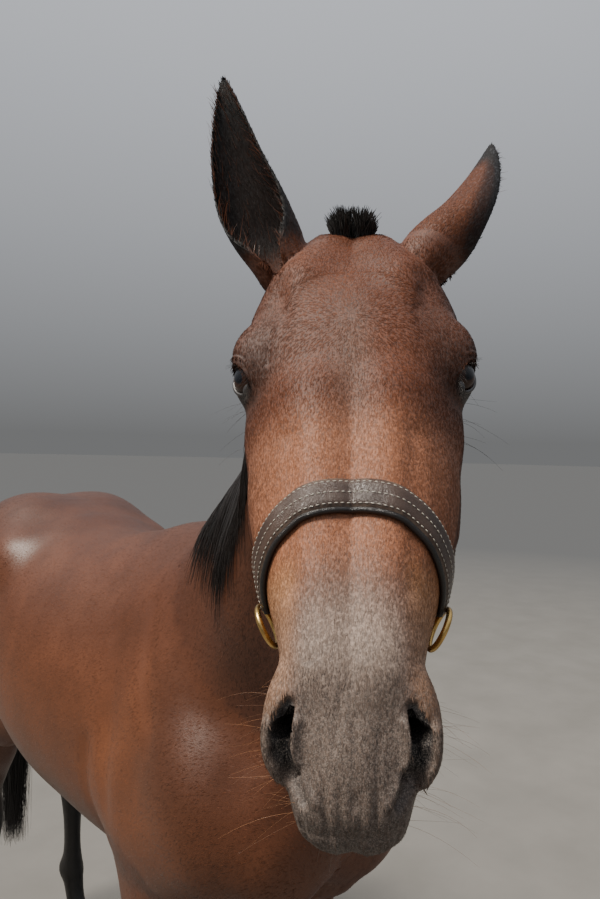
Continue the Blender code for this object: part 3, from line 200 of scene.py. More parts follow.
class Loft(Form):
    """A limb through sections: centre x, y, z, half width, rise, drop, power above, power below.

    across is the direction of its width, and rise is measured square to it and to the path.
    """

    def __init__(self, rows, blend=0.03, across=(1, 0, 0), cap=0.03, frame=BODY, paired=False, side=0):
        super().__init__(frame, blend, paired, side)
        made = smooth_rows(rows, 8)
        self.centre, self.sizes, self.cap = made[:, :3], np.maximum(made[:, 3:], 0.004), cap
        run = np.gradient(self.centre, axis=0)
        self.run = run / np.linalg.norm(run, axis=1)[:, None]
        wide = np.array(across, float) - self.run * (self.run @ np.array(across, float))[:, None]
        self.wide = wide / np.linalg.norm(wide, axis=1)[:, None]
        self.rise = np.cross(self.run, self.wide)
        reach = self.sizes[:, :3].max(axis=1)[:, None]
        self.low = (self.centre - reach).min(axis=0) - cap
        self.high = (self.centre + reach).max(axis=0) + cap

    def nearest(self, at):
        """Where along the path, in steps, each point's section lies."""
        last = len(self.centre) - 1
        gaps = ((at[:, None, :] - self.centre[None]) ** 2).sum(axis=2)
        t = gaps.argmin(axis=1).astype(float)
        step = np.linalg.norm(np.diff(self.centre, axis=0), axis=1).mean()
        for _ in range(4):
            centre, run = self.between(self.centre, t), self.between(self.run, t)
            t = np.clip(t + ((at - centre) * run).sum(axis=1) / step * 0.8, 0, last)
        return t

    def between(self, rows, t):
        low = np.minimum(t.astype(int), len(rows) - 2)
        share = (t - low)[:, None]
        return rows[low] * (1 - share) + rows[low + 1] * share

    def distance(self, at):
        t = self.nearest(at)
        off = at - self.between(self.centre, t)
        a = (off * self.between(self.wide, t)).sum(axis=1)
        b = (off * self.between(self.rise, t)).sum(axis=1)
        c = (off * self.between(self.run, t)).sum(axis=1)
        ends = (t <= 0) | (t >= len(self.centre) - 1)
        c = np.where(ends, c, 0)
        width, up, down, power_up, power_down = self.between(self.sizes, t).T
        power = np.where(b > 0, power_up, power_down)
        height = np.where(b > 0, up, down)
        inner = (np.abs(a / width) ** power + np.abs(b / height) ** power) ** (2 / power)
        n = np.sqrt(np.maximum(inner + (c / self.cap) ** 2, 1e-8))
        away = np.sqrt(a * a + b * b + c * c)
        return away - away / n

    def shell(self, around=20):
        points, faces = [], []
        for centre, wide, rise, size in zip(self.centre, self.wide, self.rise, self.sizes):
            for angle in np.arange(around) * 2 * math.pi / around:
                x, z = math.cos(angle), math.sin(angle)
                power = size[3] if z > 0 else size[4]
                height = size[1] if z > 0 else size[2]
                n = (abs(x) ** power + abs(z) ** power) ** (1 / power)
                points.append(centre + wide * size[0] * x / n + rise * height * z / n)
        rings = len(self.centre)
        for i in range(rings - 1):
            for j in range(around):
                k = (j + 1) % around
                a, b = i * around, (i + 1) * around
                faces.append((a + k, a + j, b + j, b + k))
        faces.append(tuple(range(around)))
        faces.append(tuple(reversed(range((rings - 1) * around, rings * around))))
        return np.array(points), faces


class Stroke(Form):
    """A raised line, or with a minus height a groove, along a smooth line through points."""

    def __init__(self, points, radius, height, frame=BODY, paired=False, side=0):
        super().__init__(frame, 0, paired, side)
        self.line = smooth_rows(points, 6) if len(points) > 1 else np.array(points, float)
        self.radius, self.height = radius, height
        self.low = self.line.min(axis=0) - 3 * radius
        self.high = self.line.max(axis=0) + 3 * radius

    def raised(self, at):
        gaps = ((at - self.line[0]) ** 2).sum(axis=1)
        for a, b in zip(self.line[:-1], self.line[1:]):
            share = np.clip((at - a) @ (b - a) / ((b - a) @ (b - a)), 0, 1)[:, None]
            gaps = np.minimum(gaps, ((at - a - share * (b - a)) ** 2).sum(axis=1))
        return self.height * np.exp(-gaps / self.radius**2)


def smooth_min(a, b, k):
    near = np.maximum(k - np.abs(a - b), 0) / k
    return np.minimum(a, b) - near * near * k / 4


class Shape:
    """Forms added together smoothly, then forms cut away, then strokes."""

    def __init__(self, added, cut=(), strokes=()):
        self.added, self.cut, self.strokes = list(added), list(cut), list(strokes)

    def close_to(self, form, points, margin):
        at = form.local(points)
        found = ((at > form.low - margin) & (at < form.high + margin)).all(axis=1)
        index = np.flatnonzero(found)
        return index, at[index]

    def distance(self, points):
        """How far each point lies outside the surface, or with a minus sign inside it."""
        value = np.full(len(points), 0.5)
        for form in self.added:
            index, at = self.close_to(form, points, form.blend + 0.02)
            if len(index):
                value[index] = smooth_min(value[index], form.distance(at), form.blend)
        for form in self.cut:
            index, at = self.close_to(form, points, form.blend + 0.01)
            if len(index):
                value[index] = -smooth_min(-value[index], form.distance(at), form.blend)
        for stroke in self.strokes:
            index, at = self.close_to(stroke, points, 0)
            if len(index):
                value[index] -= stroke.raised(at)
        return value

    def slope(self, points, step=0.001):
        """The outward direction at each point."""
        found = []
        for axis in np.eye(3) * step:
            found.append(self.distance(points + axis) - self.distance(points - axis))
        found = np.array(found).T
        return found / np.maximum(np.linalg.norm(found, axis=1)[:, None], 1e-12)

    def onto(self, points, height=0.0, rounds=5):
        """The points moved to the given height over the surface."""
        for _ in range(rounds):
            points = points - self.slope(points) * (self.distance(points) - height)[:, None] * 0.9
        return points


# The body's forms
def torso_forms():
    """Sections from breast to buttock: y, top, bottom, half width, widest level, powers."""
    rows = [
        (-0.80, 1.22, 0.99, 0.090, 1.11, 2.0, 2.0),
        (-0.74, 1.36, 0.955, 0.190, 1.13, 2.0, 2.1),
        (-0.62, 1.48, 0.897, 0.232, 1.14, 1.9, 2.2),
        (-0.50, 1.565, 0.870, 0.243, 1.14, 1.7, 2.3),
        (-0.42, WITHERS, GIRTH, 0.247, 1.14, 1.55, 2.4),
        (-0.30, 1.586, 0.852, 0.262, 1.15, 1.6, 2.3),
        (-0.15, 1.548, 0.845, 0.282, 1.16, 1.8, 2.2),
        (0.02, 1.527, 0.848, 0.300, 1.18, 2.0, 2.2),
        (0.18, 1.537, 0.868, 0.300, 1.20, 2.2, 2.1),
        (0.32, 1.575, 0.915, 0.283, 1.24, 2.3, 2.1),
        (0.44, 1.598, 0.975, 0.268, 1.28, 2.3, 2.1),
        (0.56, 1.583, 1.03, 0.250, 1.28, 2.2, 2.1),
        (0.67, 1.530, 1.06, 0.210, 1.28, 2.1, 2.0),
        (0.75, 1.450, 1.09, 0.150, 1.27, 2.0, 2.0),
        (0.795, 1.35, 1.16, 0.070, 1.26, 2.0, 2.0),
    ]
    sections = [(0, y, mid, wide, top - mid, mid - low, pu, pd) for y, top, low, wide, mid, pu, pd in rows]
    made = [Loft(sections, blend=0.05, across=(-1, 0, 0))]
    pair = dict(paired=True, side=0)
    made += [
        # withers ridge
        Rod((0, -0.50, 1.545), (0, -0.10, 1.500), 0.030, 0.022, blend=0.07),
        # shoulder blade, point of the shoulder, upper arm
        Ball((0.150, -0.53, 1.27), (0.060, 0.150, 0.220), 0.09, (-24, -12, 0), **pair),
        Ball((0.190, -0.665, 1.13), (0.066, 0.090, 0.13), 0.07, (-20, 0, 0), **pair),
        Ball((0.190, -0.50, 1.05), (0.062, 0.16, 0.105), 0.07, (28, 0, 0), **pair),
        # breast muscles
        Ball((0.092, -0.765, 1.10), (0.100, 0.068, 0.12), 0.06, (0, 0, 0), **pair),
        Ball((0.078, -0.60, 0.960), (0.085, 0.15, 0.082), 0.08, (0, 0, 0), **pair),
        # point of the hip, croup, thigh, buttock, stifle
        Ball((0.215, 0.30, 1.440), (0.045, 0.070, 0.055), 0.10, (0, 0, 0), **pair),
        Ball((0.120, 0.50, 1.43), (0.140, 0.21, 0.160), 0.08, (-12, 0, 0), **pair),
        Ball((0.165, 0.58, 1.22), (0.115, 0.190, 0.24), 0.08, (10, 0, 0), **pair),
        Ball((0.118, 0.690, 1.16), (0.090, 0.090, 0.25), 0.09, (-8, 0, 0), **pair),
        Ball((0.185, 0.45, 1.05), (0.080, 0.130, 0.18), 0.08, (-22, 0, 0), **pair),
    ]
    return made


def neck_forms():
    """Sections from the shoulders to the nape; the neck bends to the horse's right."""
    rows = [
        (0.000, -0.46, 1.24, 0.160, 0.310, 0.310),
        (-0.020, -0.600, 1.375, 0.150, 0.272, 0.262),
        (-0.065, -0.730, 1.518, 0.120, 0.218, 0.202),
        (-0.101, -0.840, 1.652, 0.080, 0.180, 0.162),
        (-0.163, -0.925, 1.760, 0.067, 0.150, 0.137),
        (-0.209, -0.978, 1.830, 0.060, 0.126, 0.118),
    ]
    sections = [(x, y, z, wide, up, down, 1.8, 2.1) for x, y, z, wide, up, down in rows]
    made = [Loft(sections, blend=0.06, across=(-1, 0, 0), cap=0.12)]
    made += [
        # nape behind the ears, windpipe, long muscles of each side
        Rod((-0.180, -0.890, 1.872), (-0.258, -1.050, 1.950), 0.044, 0.048, blend=0.07),
        Rod((-0.208, -0.975, 1.735), (-0.012, -0.790, 1.300), 0.042, 0.052, blend=0.06),
        Rod((0.088, -0.66, 1.34), (-0.125, -0.925, 1.765), 0.072, 0.042, blend=0.06),
        Rod((-0.085, -0.66, 1.34), (-0.200, -0.885, 1.765), 0.070, 0.038, blend=0.06),
    ]
    return made


def foreleg_forms(side, ahead):
    """A foreleg from the elbow to the coronet. side is 1 on the left; ahead moves the foot."""
    x, y = side * STANCE_FORE, FORE_Y
    toe = y - ahead
    rows = [
        (side * 0.160, y + 0.035, 1.00, 0.072, 0.120, 0.125),
        (side * 0.158, y + 0.020, 0.88, 0.070, 0.098, 0.105),
        (side * 0.154, y + 0.004, 0.77, 0.060, 0.074, 0.076),
        (x, y - ahead * 0.3, 0.66, 0.050, 0.058, 0.058),
        (x, y - ahead * 0.45, 0.56, 0.043, 0.047, 0.047),
        (x, y - ahead * 0.5, 0.50, 0.045, 0.048, 0.045),
        (x, y - ahead * 0.55, 0.455, 0.047, 0.049, 0.044),
        (x, y - ahead * 0.6, 0.405, 0.038, 0.038, 0.042),
        (x, y - ahead * 0.7, 0.35, 0.029, 0.029, 0.039),
        (x, y - ahead * 0.8, 0.29, 0.028, 0.028, 0.040),
        (x, y - ahead * 0.9, 0.245, 0.034, 0.035, 0.044),
        (x, toe, 0.215, 0.037, 0.038, 0.046),
        (x, toe - 0.012, 0.180, 0.032, 0.033, 0.038),
        (x, toe - 0.030, 0.140, 0.031, 0.031, 0.034),
        (x, toe - 0.048, 0.105, 0.039, 0.038, 0.041),
        (x, toe - 0.060, 0.078, 0.047, 0.047, 0.048),
    ]
    sections = [(a, b, c, wide, front, back, 2.1, 2.1) for a, b, c, wide, front, back in rows]
    knee = y - ahead * 0.5
    return [
        Loft(sections, blend=0.035, across=(1, 0, 0), cap=0.012),
        # elbow, forearm muscle, knee bones, pisiform, sesamoids
        Ball((side * 0.150, y + 0.115, 0.935), (0.040, 0.045, 0.060), 0.05),
        Ball((side * 0.178, y - 0.030, 0.84), (0.050, 0.070, 0.130), 0.05, (4, 0, 0)),
        Ball((x, knee - 0.014, 0.475), (0.047, 0.042, 0.050), 0.03),
        Ball((x + side * 0.004, knee + 0.040, 0.490), (0.018, 0.022, 0.030), 0.035),
        Ball((x, toe + 0.020, 0.222), (0.034, 0.028, 0.030), 0.03),
    ]


def hindleg_forms(side, back):
    """A hind leg from the stifle to the coronet. back moves the foot backward."""
    x, y = side * STANCE_HIND, HIND_Y
    foot = y + back
    rows = [
        (side * 0.165, y - 0.235, 1.08, 0.085, 0.150, 0.140),
        (side * 0.165, y - 0.190, 0.95, 0.078, 0.118, 0.120),
        (side * 0.160, y - 0.115 + back * 0.3, 0.83, 0.062, 0.088, 0.086),
        (x, y - 0.045 + back * 0.6, 0.72, 0.046, 0.060, 0.058),
        (x, y + 0.008 + back * 0.9, 0.635, 0.038, 0.044, 0.050),
        (x, foot + 0.020, 0.575, 0.043, 0.050, 0.056),
        (x, foot + 0.018, 0.525, 0.045, 0.052, 0.050),
        (x, foot + 0.014, 0.475, 0.037, 0.039, 0.044),
        (x, foot + 0.010, 0.41, 0.030, 0.031, 0.041),
        (x, foot + 0.004, 0.33, 0.028, 0.030, 0.041),
        (x, foot, 0.265, 0.034, 0.036, 0.046),
        (x, foot - 0.003, 0.232, 0.038, 0.040, 0.048),
        (x, foot - 0.016, 0.195, 0.033, 0.034, 0.040),
        (x, foot - 0.034, 0.150, 0.031, 0.031, 0.034),
        (x, foot - 0.052, 0.110, 0.038, 0.037, 0.040),
        (x, foot - 0.064, 0.080, 0.045, 0.046, 0.047),
    ]
    sections = [(a, b, c, wide, front, rear, 2.1, 2.1) for a, b, c, wide, front, rear in rows]
    return [
        Loft(sections, blend=0.04, across=(1, 0, 0), cap=0.012),
        # hamstrings, kneecap, gaskin muscle, point and tendon of the hock, sesamoids
        Rod((side * 0.150, y - 0.040, 1.04), (side * 0.152, y - 0.058 + back * 0.4, 0.80), 0.074, 0.042,
            blend=0.07),
        Ball((side * 0.178, y - 0.335, 0.985), (0.050, 0.060, 0.075), 0.06),
        Ball((side * 0.172, y - 0.135 + back * 0.2, 0.865), (0.060, 0.080, 0.125), 0.05, (28, 0, 0)),
        Rod((x, foot + 0.074, 0.628), (x, foot + 0.058, 0.530), 0.021, 0.024, blend=0.035),
        Rod((x, y - 0.045 + back * 0.5, 0.85), (x, foot + 0.070, 0.64), 0.020, 0.016, blend=0.035),
        Ball((x, foot + 0.022, 0.240), (0.034, 0.028, 0.030), 0.03),
    ]


def head_forms():
    """Sections from poll to upper lip: s, top, bottom, half width, widest level, powers."""
    face_rows = [
        (-0.020, -0.045, -0.120, 0.036, -0.080, 2.0, 2.0),
        (0.020, -0.018, -0.145, 0.054, -0.070, 2.1, 2.0),
        (0.055, 0.000, -0.165, 0.086, -0.066, 2.2, 2.0),
        (0.085, 0.010, -0.180, 0.106, -0.062, 2.3, 2.0),
        (0.120, 0.017, -0.195, 0.116, -0.060, 2.4, 2.0),
        (0.165, 0.021, -0.205, 0.111, -0.060, 2.5, 2.0),
        (0.215, 0.017, -0.205, 0.105, -0.066, 2.5, 2.0),
        (0.270, 0.010, -0.195, 0.103, -0.074, 2.4, 2.0),
        (0.325, 0.005, -0.178, 0.102, -0.078, 2.4, 2.0),
        (0.375, 0.003, -0.155, 0.093, -0.076, 2.4, 2.0),
        (0.425, 0.003, -0.133, 0.077, -0.070, 2.4, 2.0),
        (0.475, 0.003, -0.117, 0.062, -0.064, 2.4, 2.0),
        (0.520, 0.002, -0.105, 0.055, -0.058, 2.4, 2.1),
        (0.552, -0.006, -0.098, 0.046, -0.056, 2.3, 2.2),
        (0.578, -0.020, -0.095, 0.041, -0.060, 2.2, 2.3),
        (0.596, -0.040, -0.094, 0.036, -0.068, 2.1, 2.2),
    ]
    jaw_rows = [
        (0.070, -0.130, -0.225, 0.045, -0.175, 2.0, 2.0),
        (0.110, -0.100, -0.268, 0.066, -0.185, 2.1, 2.1),
        (0.160, -0.090, -0.284, 0.076, -0.180, 2.2, 2.2),
        (0.220, -0.090, -0.276, 0.076, -0.175, 2.2, 2.2),
        (0.280, -0.090, -0.250, 0.066, -0.165, 2.1, 2.1),
        (0.345, -0.090, -0.212, 0.052, -0.150, 2.0, 2.0),
        (0.410, -0.085, -0.175, 0.042, -0.130, 2.0, 2.0),
        (0.470, -0.080, -0.148, 0.036, -0.112, 2.0, 2.0),
        (0.520, -0.080, -0.136, 0.034, -0.106, 2.0, 2.0),
        (0.548, -0.085, -0.130, 0.031, -0.108, 2.0, 2.0),
        (0.572, -0.092, -0.122, 0.024, -0.108, 2.0, 2.0),
    ]
    lofts = []
    for rows, blend, cap in ((face_rows, 0.03, 0.018), (jaw_rows, 0.03, 0.012)):
        sections = [(s, 0, mid, wide, top - mid, mid - low, pu, pd) for s, top, low, wide, mid, pu, pd in rows]
        lofts.append(Loft(sections, blend=blend, across=(0, 1, 0), cap=cap, frame=HEAD))
    pair = dict(frame=HEAD, paired=True, side=1)
    looks = EYE_LOOKS.normalized()
    lid_ball = EYE_AT - looks * 0.0012
    return lofts + [
        # chewing muscle, cheek ridge, brow, temple
        Ball((0.170, 0.060, -0.178), (0.092, 0.030, 0.088), 0.03, **pair),
        Rod((0.262, 0.086, -0.080), (0.350, 0.080, -0.086), 0.010, 0.008, 0.03, **pair),
        Ball((0.180, 0.101, -0.026), (0.036, 0.025, 0.022), 0.025, (0, 8, 0), **pair),
        Ball((0.232, 0.086, -0.070), (0.045, 0.020, 0.026), 0.03, (0, 0, 0), **pair),
        Rod((0.090, 0.055, -0.015), (0.030, 0.030, -0.030), 0.030, 0.030, 0.03, **pair),
        # lids
        Ball(lid_ball, (0.0264, 0.0258, 0.0254), 0.012, (0, 0, 0), **pair),
        # nasal bones, nostril wings, lips, chin
        Rod((0.250, 0.034, -0.012), (0.500, 0.024, -0.020), 0.024, 0.020, 0.03, **pair),
        Ball((0.538, 0.049, -0.036), (0.036, 0.019, 0.028), 0.02, (0, 16, 0), **pair),
        Ball((0.580, 0.018, -0.064), (0.026, 0.022, 0.028), 0.025, (0, 0, 0), **pair),
        Ball((0.592, 0.0, -0.072), (0.018, 0.024, 0.022), 0.02, frame=HEAD),
        Ball((0.528, 0.0, -0.122), (0.032, 0.028, 0.022), 0.02, frame=HEAD),
        Ball((0.568, 0.0, -0.108), (0.022, 0.024, 0.013), 0.012, frame=HEAD),
    ]


def eye_axes():
    """The eye's own axes in the head frame: along the lids, across them, and outward."""
    out = EYE_LOOKS.normalized()
    along = Vector((0.85, -0.35, 0.13))
    along = (along - out * along.dot(out)).normalized()
    return along, out.cross(along), out


def head_cuts():
    pair = dict(frame=HEAD, paired=True, side=1)
    return [
        # hollow over each eye, channel between the jaws
        Ball((0.130, 0.080, 0.020), (0.030, 0.012, 0.014), 0.02, (0, -10, 0), **pair),
        Rod((0.190, 0.0, -0.305), (0.420, 0.0, -0.195), 0.032, 0.020, 0.03, frame=HEAD),
    ]


def head_strokes():
    pair = dict(frame=HEAD, paired=True, side=1)
    return [
        Stroke([(0.150, 0.066, 0.010), (0.205, 0.070, 0.008)], 0.010, -0.0030, **pair),
        Stroke([(0.300, 0.052, 0.000), (0.440, 0.044, -0.008)], 0.012, -0.0025, **pair),
        Stroke([(0.300, 0.098, -0.100), (0.380, 0.070, -0.105), (0.470, 0.052, -0.085)], 0.014, -0.004, **pair),
    ]


SIDES = (("left", 1), ("right", -1))
FORE_AHEAD = {"left": 0.0, "right": 0.035}
HIND_BACK = {"left": 0.0, "right": -0.055}


def whole_horse():
    added = torso_forms() + neck_forms()
    for name, side in SIDES:
        added += foreleg_forms(side, FORE_AHEAD[name]) + hindleg_forms(side, HIND_BACK[name])
    return Shape(added + head_forms(), head_cuts(), head_strokes())


# Meshes
def new_object(name, mesh):
    made = bpy.data.objects.new(name, mesh)
    bpy.context.scene.collection.objects.link(made)
    return made


def solid(points, faces, name="piece"):
    mesh = bpy.data.meshes.new(name)
    mesh.from_pydata([tuple(p) for p in points], [], faces)
    mesh.update()
    return mesh


def filled(forms):
    """One mesh holding the closed outline of every form."""
    points, faces, first = [], [], 0
    for form in forms:
        for at, shell in form.outline():
            points.append(at)
            faces += [tuple(first + i for i in f) for f in shell]
            first += len(at)
    return solid(np.vstack(points), faces)


def evaluated_mesh(made):
    graph = bpy.context.evaluated_depsgraph_get()
    mesh = bpy.data.meshes.new_from_object(made.evaluated_get(graph))
    bpy.data.objects.remove(made)
    return mesh


def remeshed(mesh, voxel):
    made = new_object("remeshed", mesh)
    change = made.modifiers.new("Remesh", "REMESH")
    change.mode, change.voxel_size = "VOXEL", voxel
    return evaluated_mesh(made)


def points_of(mesh):
    points = np.empty(len(mesh.vertices) * 3)
    mesh.vertices.foreach_get("co", points)
    return points.reshape(-1, 3)


def normals_of(mesh):
    normals = np.empty(len(mesh.vertices) * 3)
    mesh.vertex_normals.foreach_get("vector", normals)
    return normals.reshape(-1, 3)


def set_points(mesh, points):
    mesh.vertices.foreach_set("co", points.ravel())
    mesh.update()


def relaxed(mesh, points, rounds):
    """Each point moved half way to the mean of its neighbours."""
    ends = np.empty(len(mesh.edges) * 2, np.int64)
    mesh.edges.foreach_get("vertices", ends)
    a, b = ends.reshape(-1, 2).T
    count = np.bincount(ends, minlength=len(points))[:, None]
    for _ in range(rounds):
        total = np.zeros_like(points)
        for axis in range(3):
            total[:, axis] += np.bincount(a, points[b, axis], len(points))
            total[:, axis] += np.bincount(b, points[a, axis], len(points))
        points = points + 0.5 * (total / count - points)
    return points


LONGEST_STEP = 0.02


def fitted(mesh, shape, rounds=7):
    """The mesh drawn onto the shape's smooth surface, its points kept evenly spread."""
    for i in range(rounds):
        if i < rounds - 2:
            set_points(mesh, relaxed(mesh, points_of(mesh), 2))
        points = points_of(mesh)
        step = np.clip(shape.distance(points), -LONGEST_STEP, LONGEST_STEP)
        set_points(mesh, points - normals_of(mesh) * step[:, None])
    return mesh


def thinned(mesh, keep, kept_points=None):
    """Fewer faces, by the share keep. kept_points marks the points that stay as they are."""
    made = new_object("thinned", mesh)
    change = made.modifiers.new("Decimate", "DECIMATE")
    change.ratio = keep
    if kept_points is not None:
        group = made.vertex_groups.new(name="free")
        group.add([int(i) for i in np.flatnonzero(~kept_points)], 1.0, "REPLACE")
        change.vertex_group = "free"
    return evaluated_mesh(made)


def swollen(mesh, by):
    """A copy with each point moved outward."""
    made = mesh.copy()
    set_points(made, points_of(made) + normals_of(made) * by)
    return made


def combined(mesh, others, operation):
    """The mesh joined with, or cut by, all the others at once."""
    target = new_object("target", mesh)
    pieces = bpy.data.collections.new("pieces")
    bpy.context.scene.collection.children.link(pieces)
    for other in others:
        pieces.objects.link(bpy.data.objects.new("other", other))
    change = target.modifiers.new("Boolean", "BOOLEAN")
    change.operation, change.solver = operation, "MANIFOLD"
    change.operand_type, change.collection = "COLLECTION", pieces
    made = evaluated_mesh(target)
    for piece in list(pieces.objects):
        bpy.data.objects.remove(piece)
    bpy.data.collections.remove(pieces)
    return made


def islands(mesh):
    """The mesh's separate closed surfaces, largest first. Surfaces that only touch count as separate."""
    bm = bmesh.new()
    bm.from_mesh(mesh)
    bmesh.ops.triangulate(bm, faces=bm.faces)
    left, found = set(bm.faces), []
    while left:
        stack, group = [left.pop()], []
        while stack:
            face = stack.pop()
            group.append(face)
            for edge in face.edges:
                for other in edge.link_faces:
                    if other in left:
                        left.remove(other)
                        stack.append(other)
        found.append(sorted(group, key=lambda f: f.index))
    meshes = []
    for group in sorted(found, key=len, reverse=True):
        number = {v: i for i, v in enumerate(dict.fromkeys(v for f in group for v in f.verts))}
        meshes.append(solid([v.co[:] for v in number], [[number[v] for v in f.verts] for f in group]))
    bm.free()
    return meshes


def largest(mesh):
    return islands(mesh)[0]


def disc(centre, normal, radius, thick=GAP, sides=24):
    """A thin round plate, which parts two nodes."""
    bm = bmesh.new()
    turn = Vector(normal).to_track_quat("Z", "Y").to_matrix().to_4x4()
    place = Matrix.Translation(Vector(centre)) @ turn
    bmesh.ops.create_cone(
        bm, cap_ends=True, segments=sides, radius1=radius, radius2=radius, depth=thick, matrix=place
    )
    mesh = bpy.data.meshes.new("disc")
    bm.to_mesh(mesh)
    bm.free()
    return mesh


def bead(centre, radii, axes=None, finer=2):
    """An ellipsoid mesh."""
    bm = bmesh.new()
    bmesh.ops.create_icosphere(bm, subdivisions=finer, radius=1)
    points = np.array([v.co for v in bm.verts]) * radii
    faces = [tuple(v.index for v in f.verts) for f in bm.faces]
    bm.free()
    axes = np.eye(3) if axes is None else np.array(axes)
    return outward(solid(points @ axes.T + np.array(centre), faces))


def tube(path, radii, sides=8, flat=1.0, wide=None, closed=False):
    """A closed solid along path. Its section is an ellipse, radii across and flat times that along wide."""
    path = np.array(path, float)
    run = np.roll(path, -1, 0) - np.roll(path, 1, 0) if closed else np.gradient(path, axis=0)
    run /= np.linalg.norm(run, axis=1)[:, None]
    if wide is None:
        wide = np.array((0.31, 0.52, 0.80))
    wide = np.broadcast_to(wide, path.shape)
    second = np.cross(run, wide)
    second /= np.linalg.norm(second, axis=1)[:, None]
    first = np.cross(second, run)
    turn = np.arange(sides) * 2 * math.pi / sides
    points, faces = [], []
    for centre, radius, a, b in zip(path, np.broadcast_to(radii, len(path)), first, second):
        for angle in turn:
            points.append(centre + radius * (a * math.cos(angle) + flat * b * math.sin(angle)))
    rings = len(path)
    for i in range(rings if closed else rings - 1):
        for j in range(sides):
            k, m = (j + 1) % sides, (i + 1) % rings
            faces.append((i * sides + j, m * sides + j, m * sides + k, i * sides + k))
    if not closed:
        faces.append(tuple(range(sides)))
        faces.append(tuple(reversed(range((rings - 1) * sides, rings * sides))))
    return outward(solid(points, faces))


def outward(mesh):
    bm = bmesh.new()
    bm.from_mesh(mesh)
    bmesh.ops.triangulate(bm, faces=bm.faces)
    bmesh.ops.recalc_face_normals(bm, faces=bm.faces)
    if bm.calc_volume(signed=True) < 0:
        bmesh.ops.reverse_faces(bm, faces=bm.faces)
    bm.to_mesh(mesh)
    bm.free()
    return mesh


def in_head(point):
    return np.array((HEAD @ Vector(point))[:])


def along_head(direction):
    return np.array((HEAD.to_3x3() @ Vector(direction))[:])


# Fast meshes and their data
def mesh_of(name, points, triangles):
    mesh = bpy.data.meshes.new(name)
    mesh.vertices.add(len(points))
    mesh.vertices.foreach_set("co", np.ascontiguousarray(points, np.float32).ravel())
    mesh.loops.add(triangles.size)
    mesh.loops.foreach_set("vertex_index", np.ascontiguousarray(triangles, np.int32).ravel())
    mesh.polygons.add(len(triangles))
    mesh.polygons.foreach_set("loop_start", np.arange(0, triangles.size, 3, dtype=np.int32))
    mesh.update(calc_edges=True)
    return mesh


def triangles_of(mesh):
    mesh.calc_loop_triangles()
    found = np.empty(len(mesh.loop_triangles) * 3, np.int32)
    mesh.loop_triangles.foreach_get("vertices", found)
    return found.reshape(-1, 3)


def put_colour(mesh, name, colours):
    layer = mesh.attributes.new(name, "FLOAT_COLOR", "POINT")
    whole = np.ones((len(colours), 4), np.float32)
    whole[:, :3] = colours
    layer.data.foreach_set("color", whole.ravel())


def put_vector(mesh, name, vectors):
    layer = mesh.attributes.new(name, "FLOAT_VECTOR", "POINT")
    layer.data.foreach_set("vector", np.ascontiguousarray(vectors, np.float32).ravel())


def put_number(mesh, name, numbers):
    layer = mesh.attributes.new(name, "FLOAT", "POINT")
    layer.data.foreach_set("value", np.ascontiguousarray(numbers, np.float32))


def put_bake_map(mesh, places):
    """places holds one UV for each point of the mesh."""
    layer = mesh.uv_layers.new(name="OFBake")
    corners = np.empty(len(mesh.loops), np.int32)
    mesh.loops.foreach_get("vertex_index", corners)
    layer.data.foreach_set("uv", np.ascontiguousarray(places[corners], np.float32).ravel())


def unit(vectors):
    return vectors / np.maximum(np.linalg.norm(vectors, axis=-1, keepdims=True), 1e-9)


def soft_step(low, high, value):
    t = np.clip((value - low) / (high - low), 0, 1)
    return t * t * (3 - 2 * t)


def mixed(a, b, share):
    return a + (np.asarray(b, float) - a) * np.asarray(share)[:, None]


# The skin
COAT_DEPTH = 0.0015
SKIN_VOXEL = 0.015
HEAD_BACK = np.linalg.inv(np.array(HEAD, float))


def to_head(points):
    return points @ HEAD_BACK[:3, :3].T + HEAD_BACK[:3, 3]


NOSTRIL = [(0.530, 0.0455, -0.004), (0.542, 0.0500, -0.008), (0.553, 0.0520, -0.012), (0.564, 0.0512, -0.019),
           (0.576, 0.0450, -0.030), (0.588, 0.0360, -0.034)]
NOSTRIL_RADII = (0.0034, 0.0062, 0.0072, 0.0074, 0.0066, 0.0036)
MOUTH = [(0.612, 0.0, -0.0945), (0.597, 0.028, -0.0950), (0.560, 0.0440, -0.0965), (0.515, 0.0520, -0.0985)]


def nostril_cuts(plain):
    """The comma of each nostril, sunk in the surface as a chain of rods."""
    world = plain.onto(np.array([in_head(p) for p in NOSTRIL]), -0.0026, 6)
    line = to_head(world)
    pair = dict(frame=HEAD, paired=True, side=1)
    made = []
    for a, b, ra, rb in zip(line[:-1], line[1:], NOSTRIL_RADII[:-1], NOSTRIL_RADII[1:]):
        made.append(Rod(a, b, ra, rb, 0.0045, **pair))
    return made, line


def detail_forms():
    """Folds and swellings too small for the solids."""
    pair = dict(frame=HEAD, paired=True, side=1)
    return [
        # corner of the lips
        Ball((0.512, 0.044, -0.090), (0.022, 0.010, 0.010), 0.012, (0, 0, 0), **pair),
    ]


def lid_point(angle, reach=1.0, lift=0.0):
    """A point in the head frame on the almond round the left eye, by angle from the front corner."""
    along, across, out = (np.array(v) for v in eye_axes())
    x, y = EYE_LONG * reach * math.cos(angle), EYE_TALL * reach * math.sin(angle)
    depth = math.sqrt(max(0.0, (EYE_RADIUS + lift) ** 2 - x * x - y * y))
    return np.array(EYE_AT) + along * x + across * y + out * depth


EYE_LONG = 0.0182
EYE_TALL = 0.0140


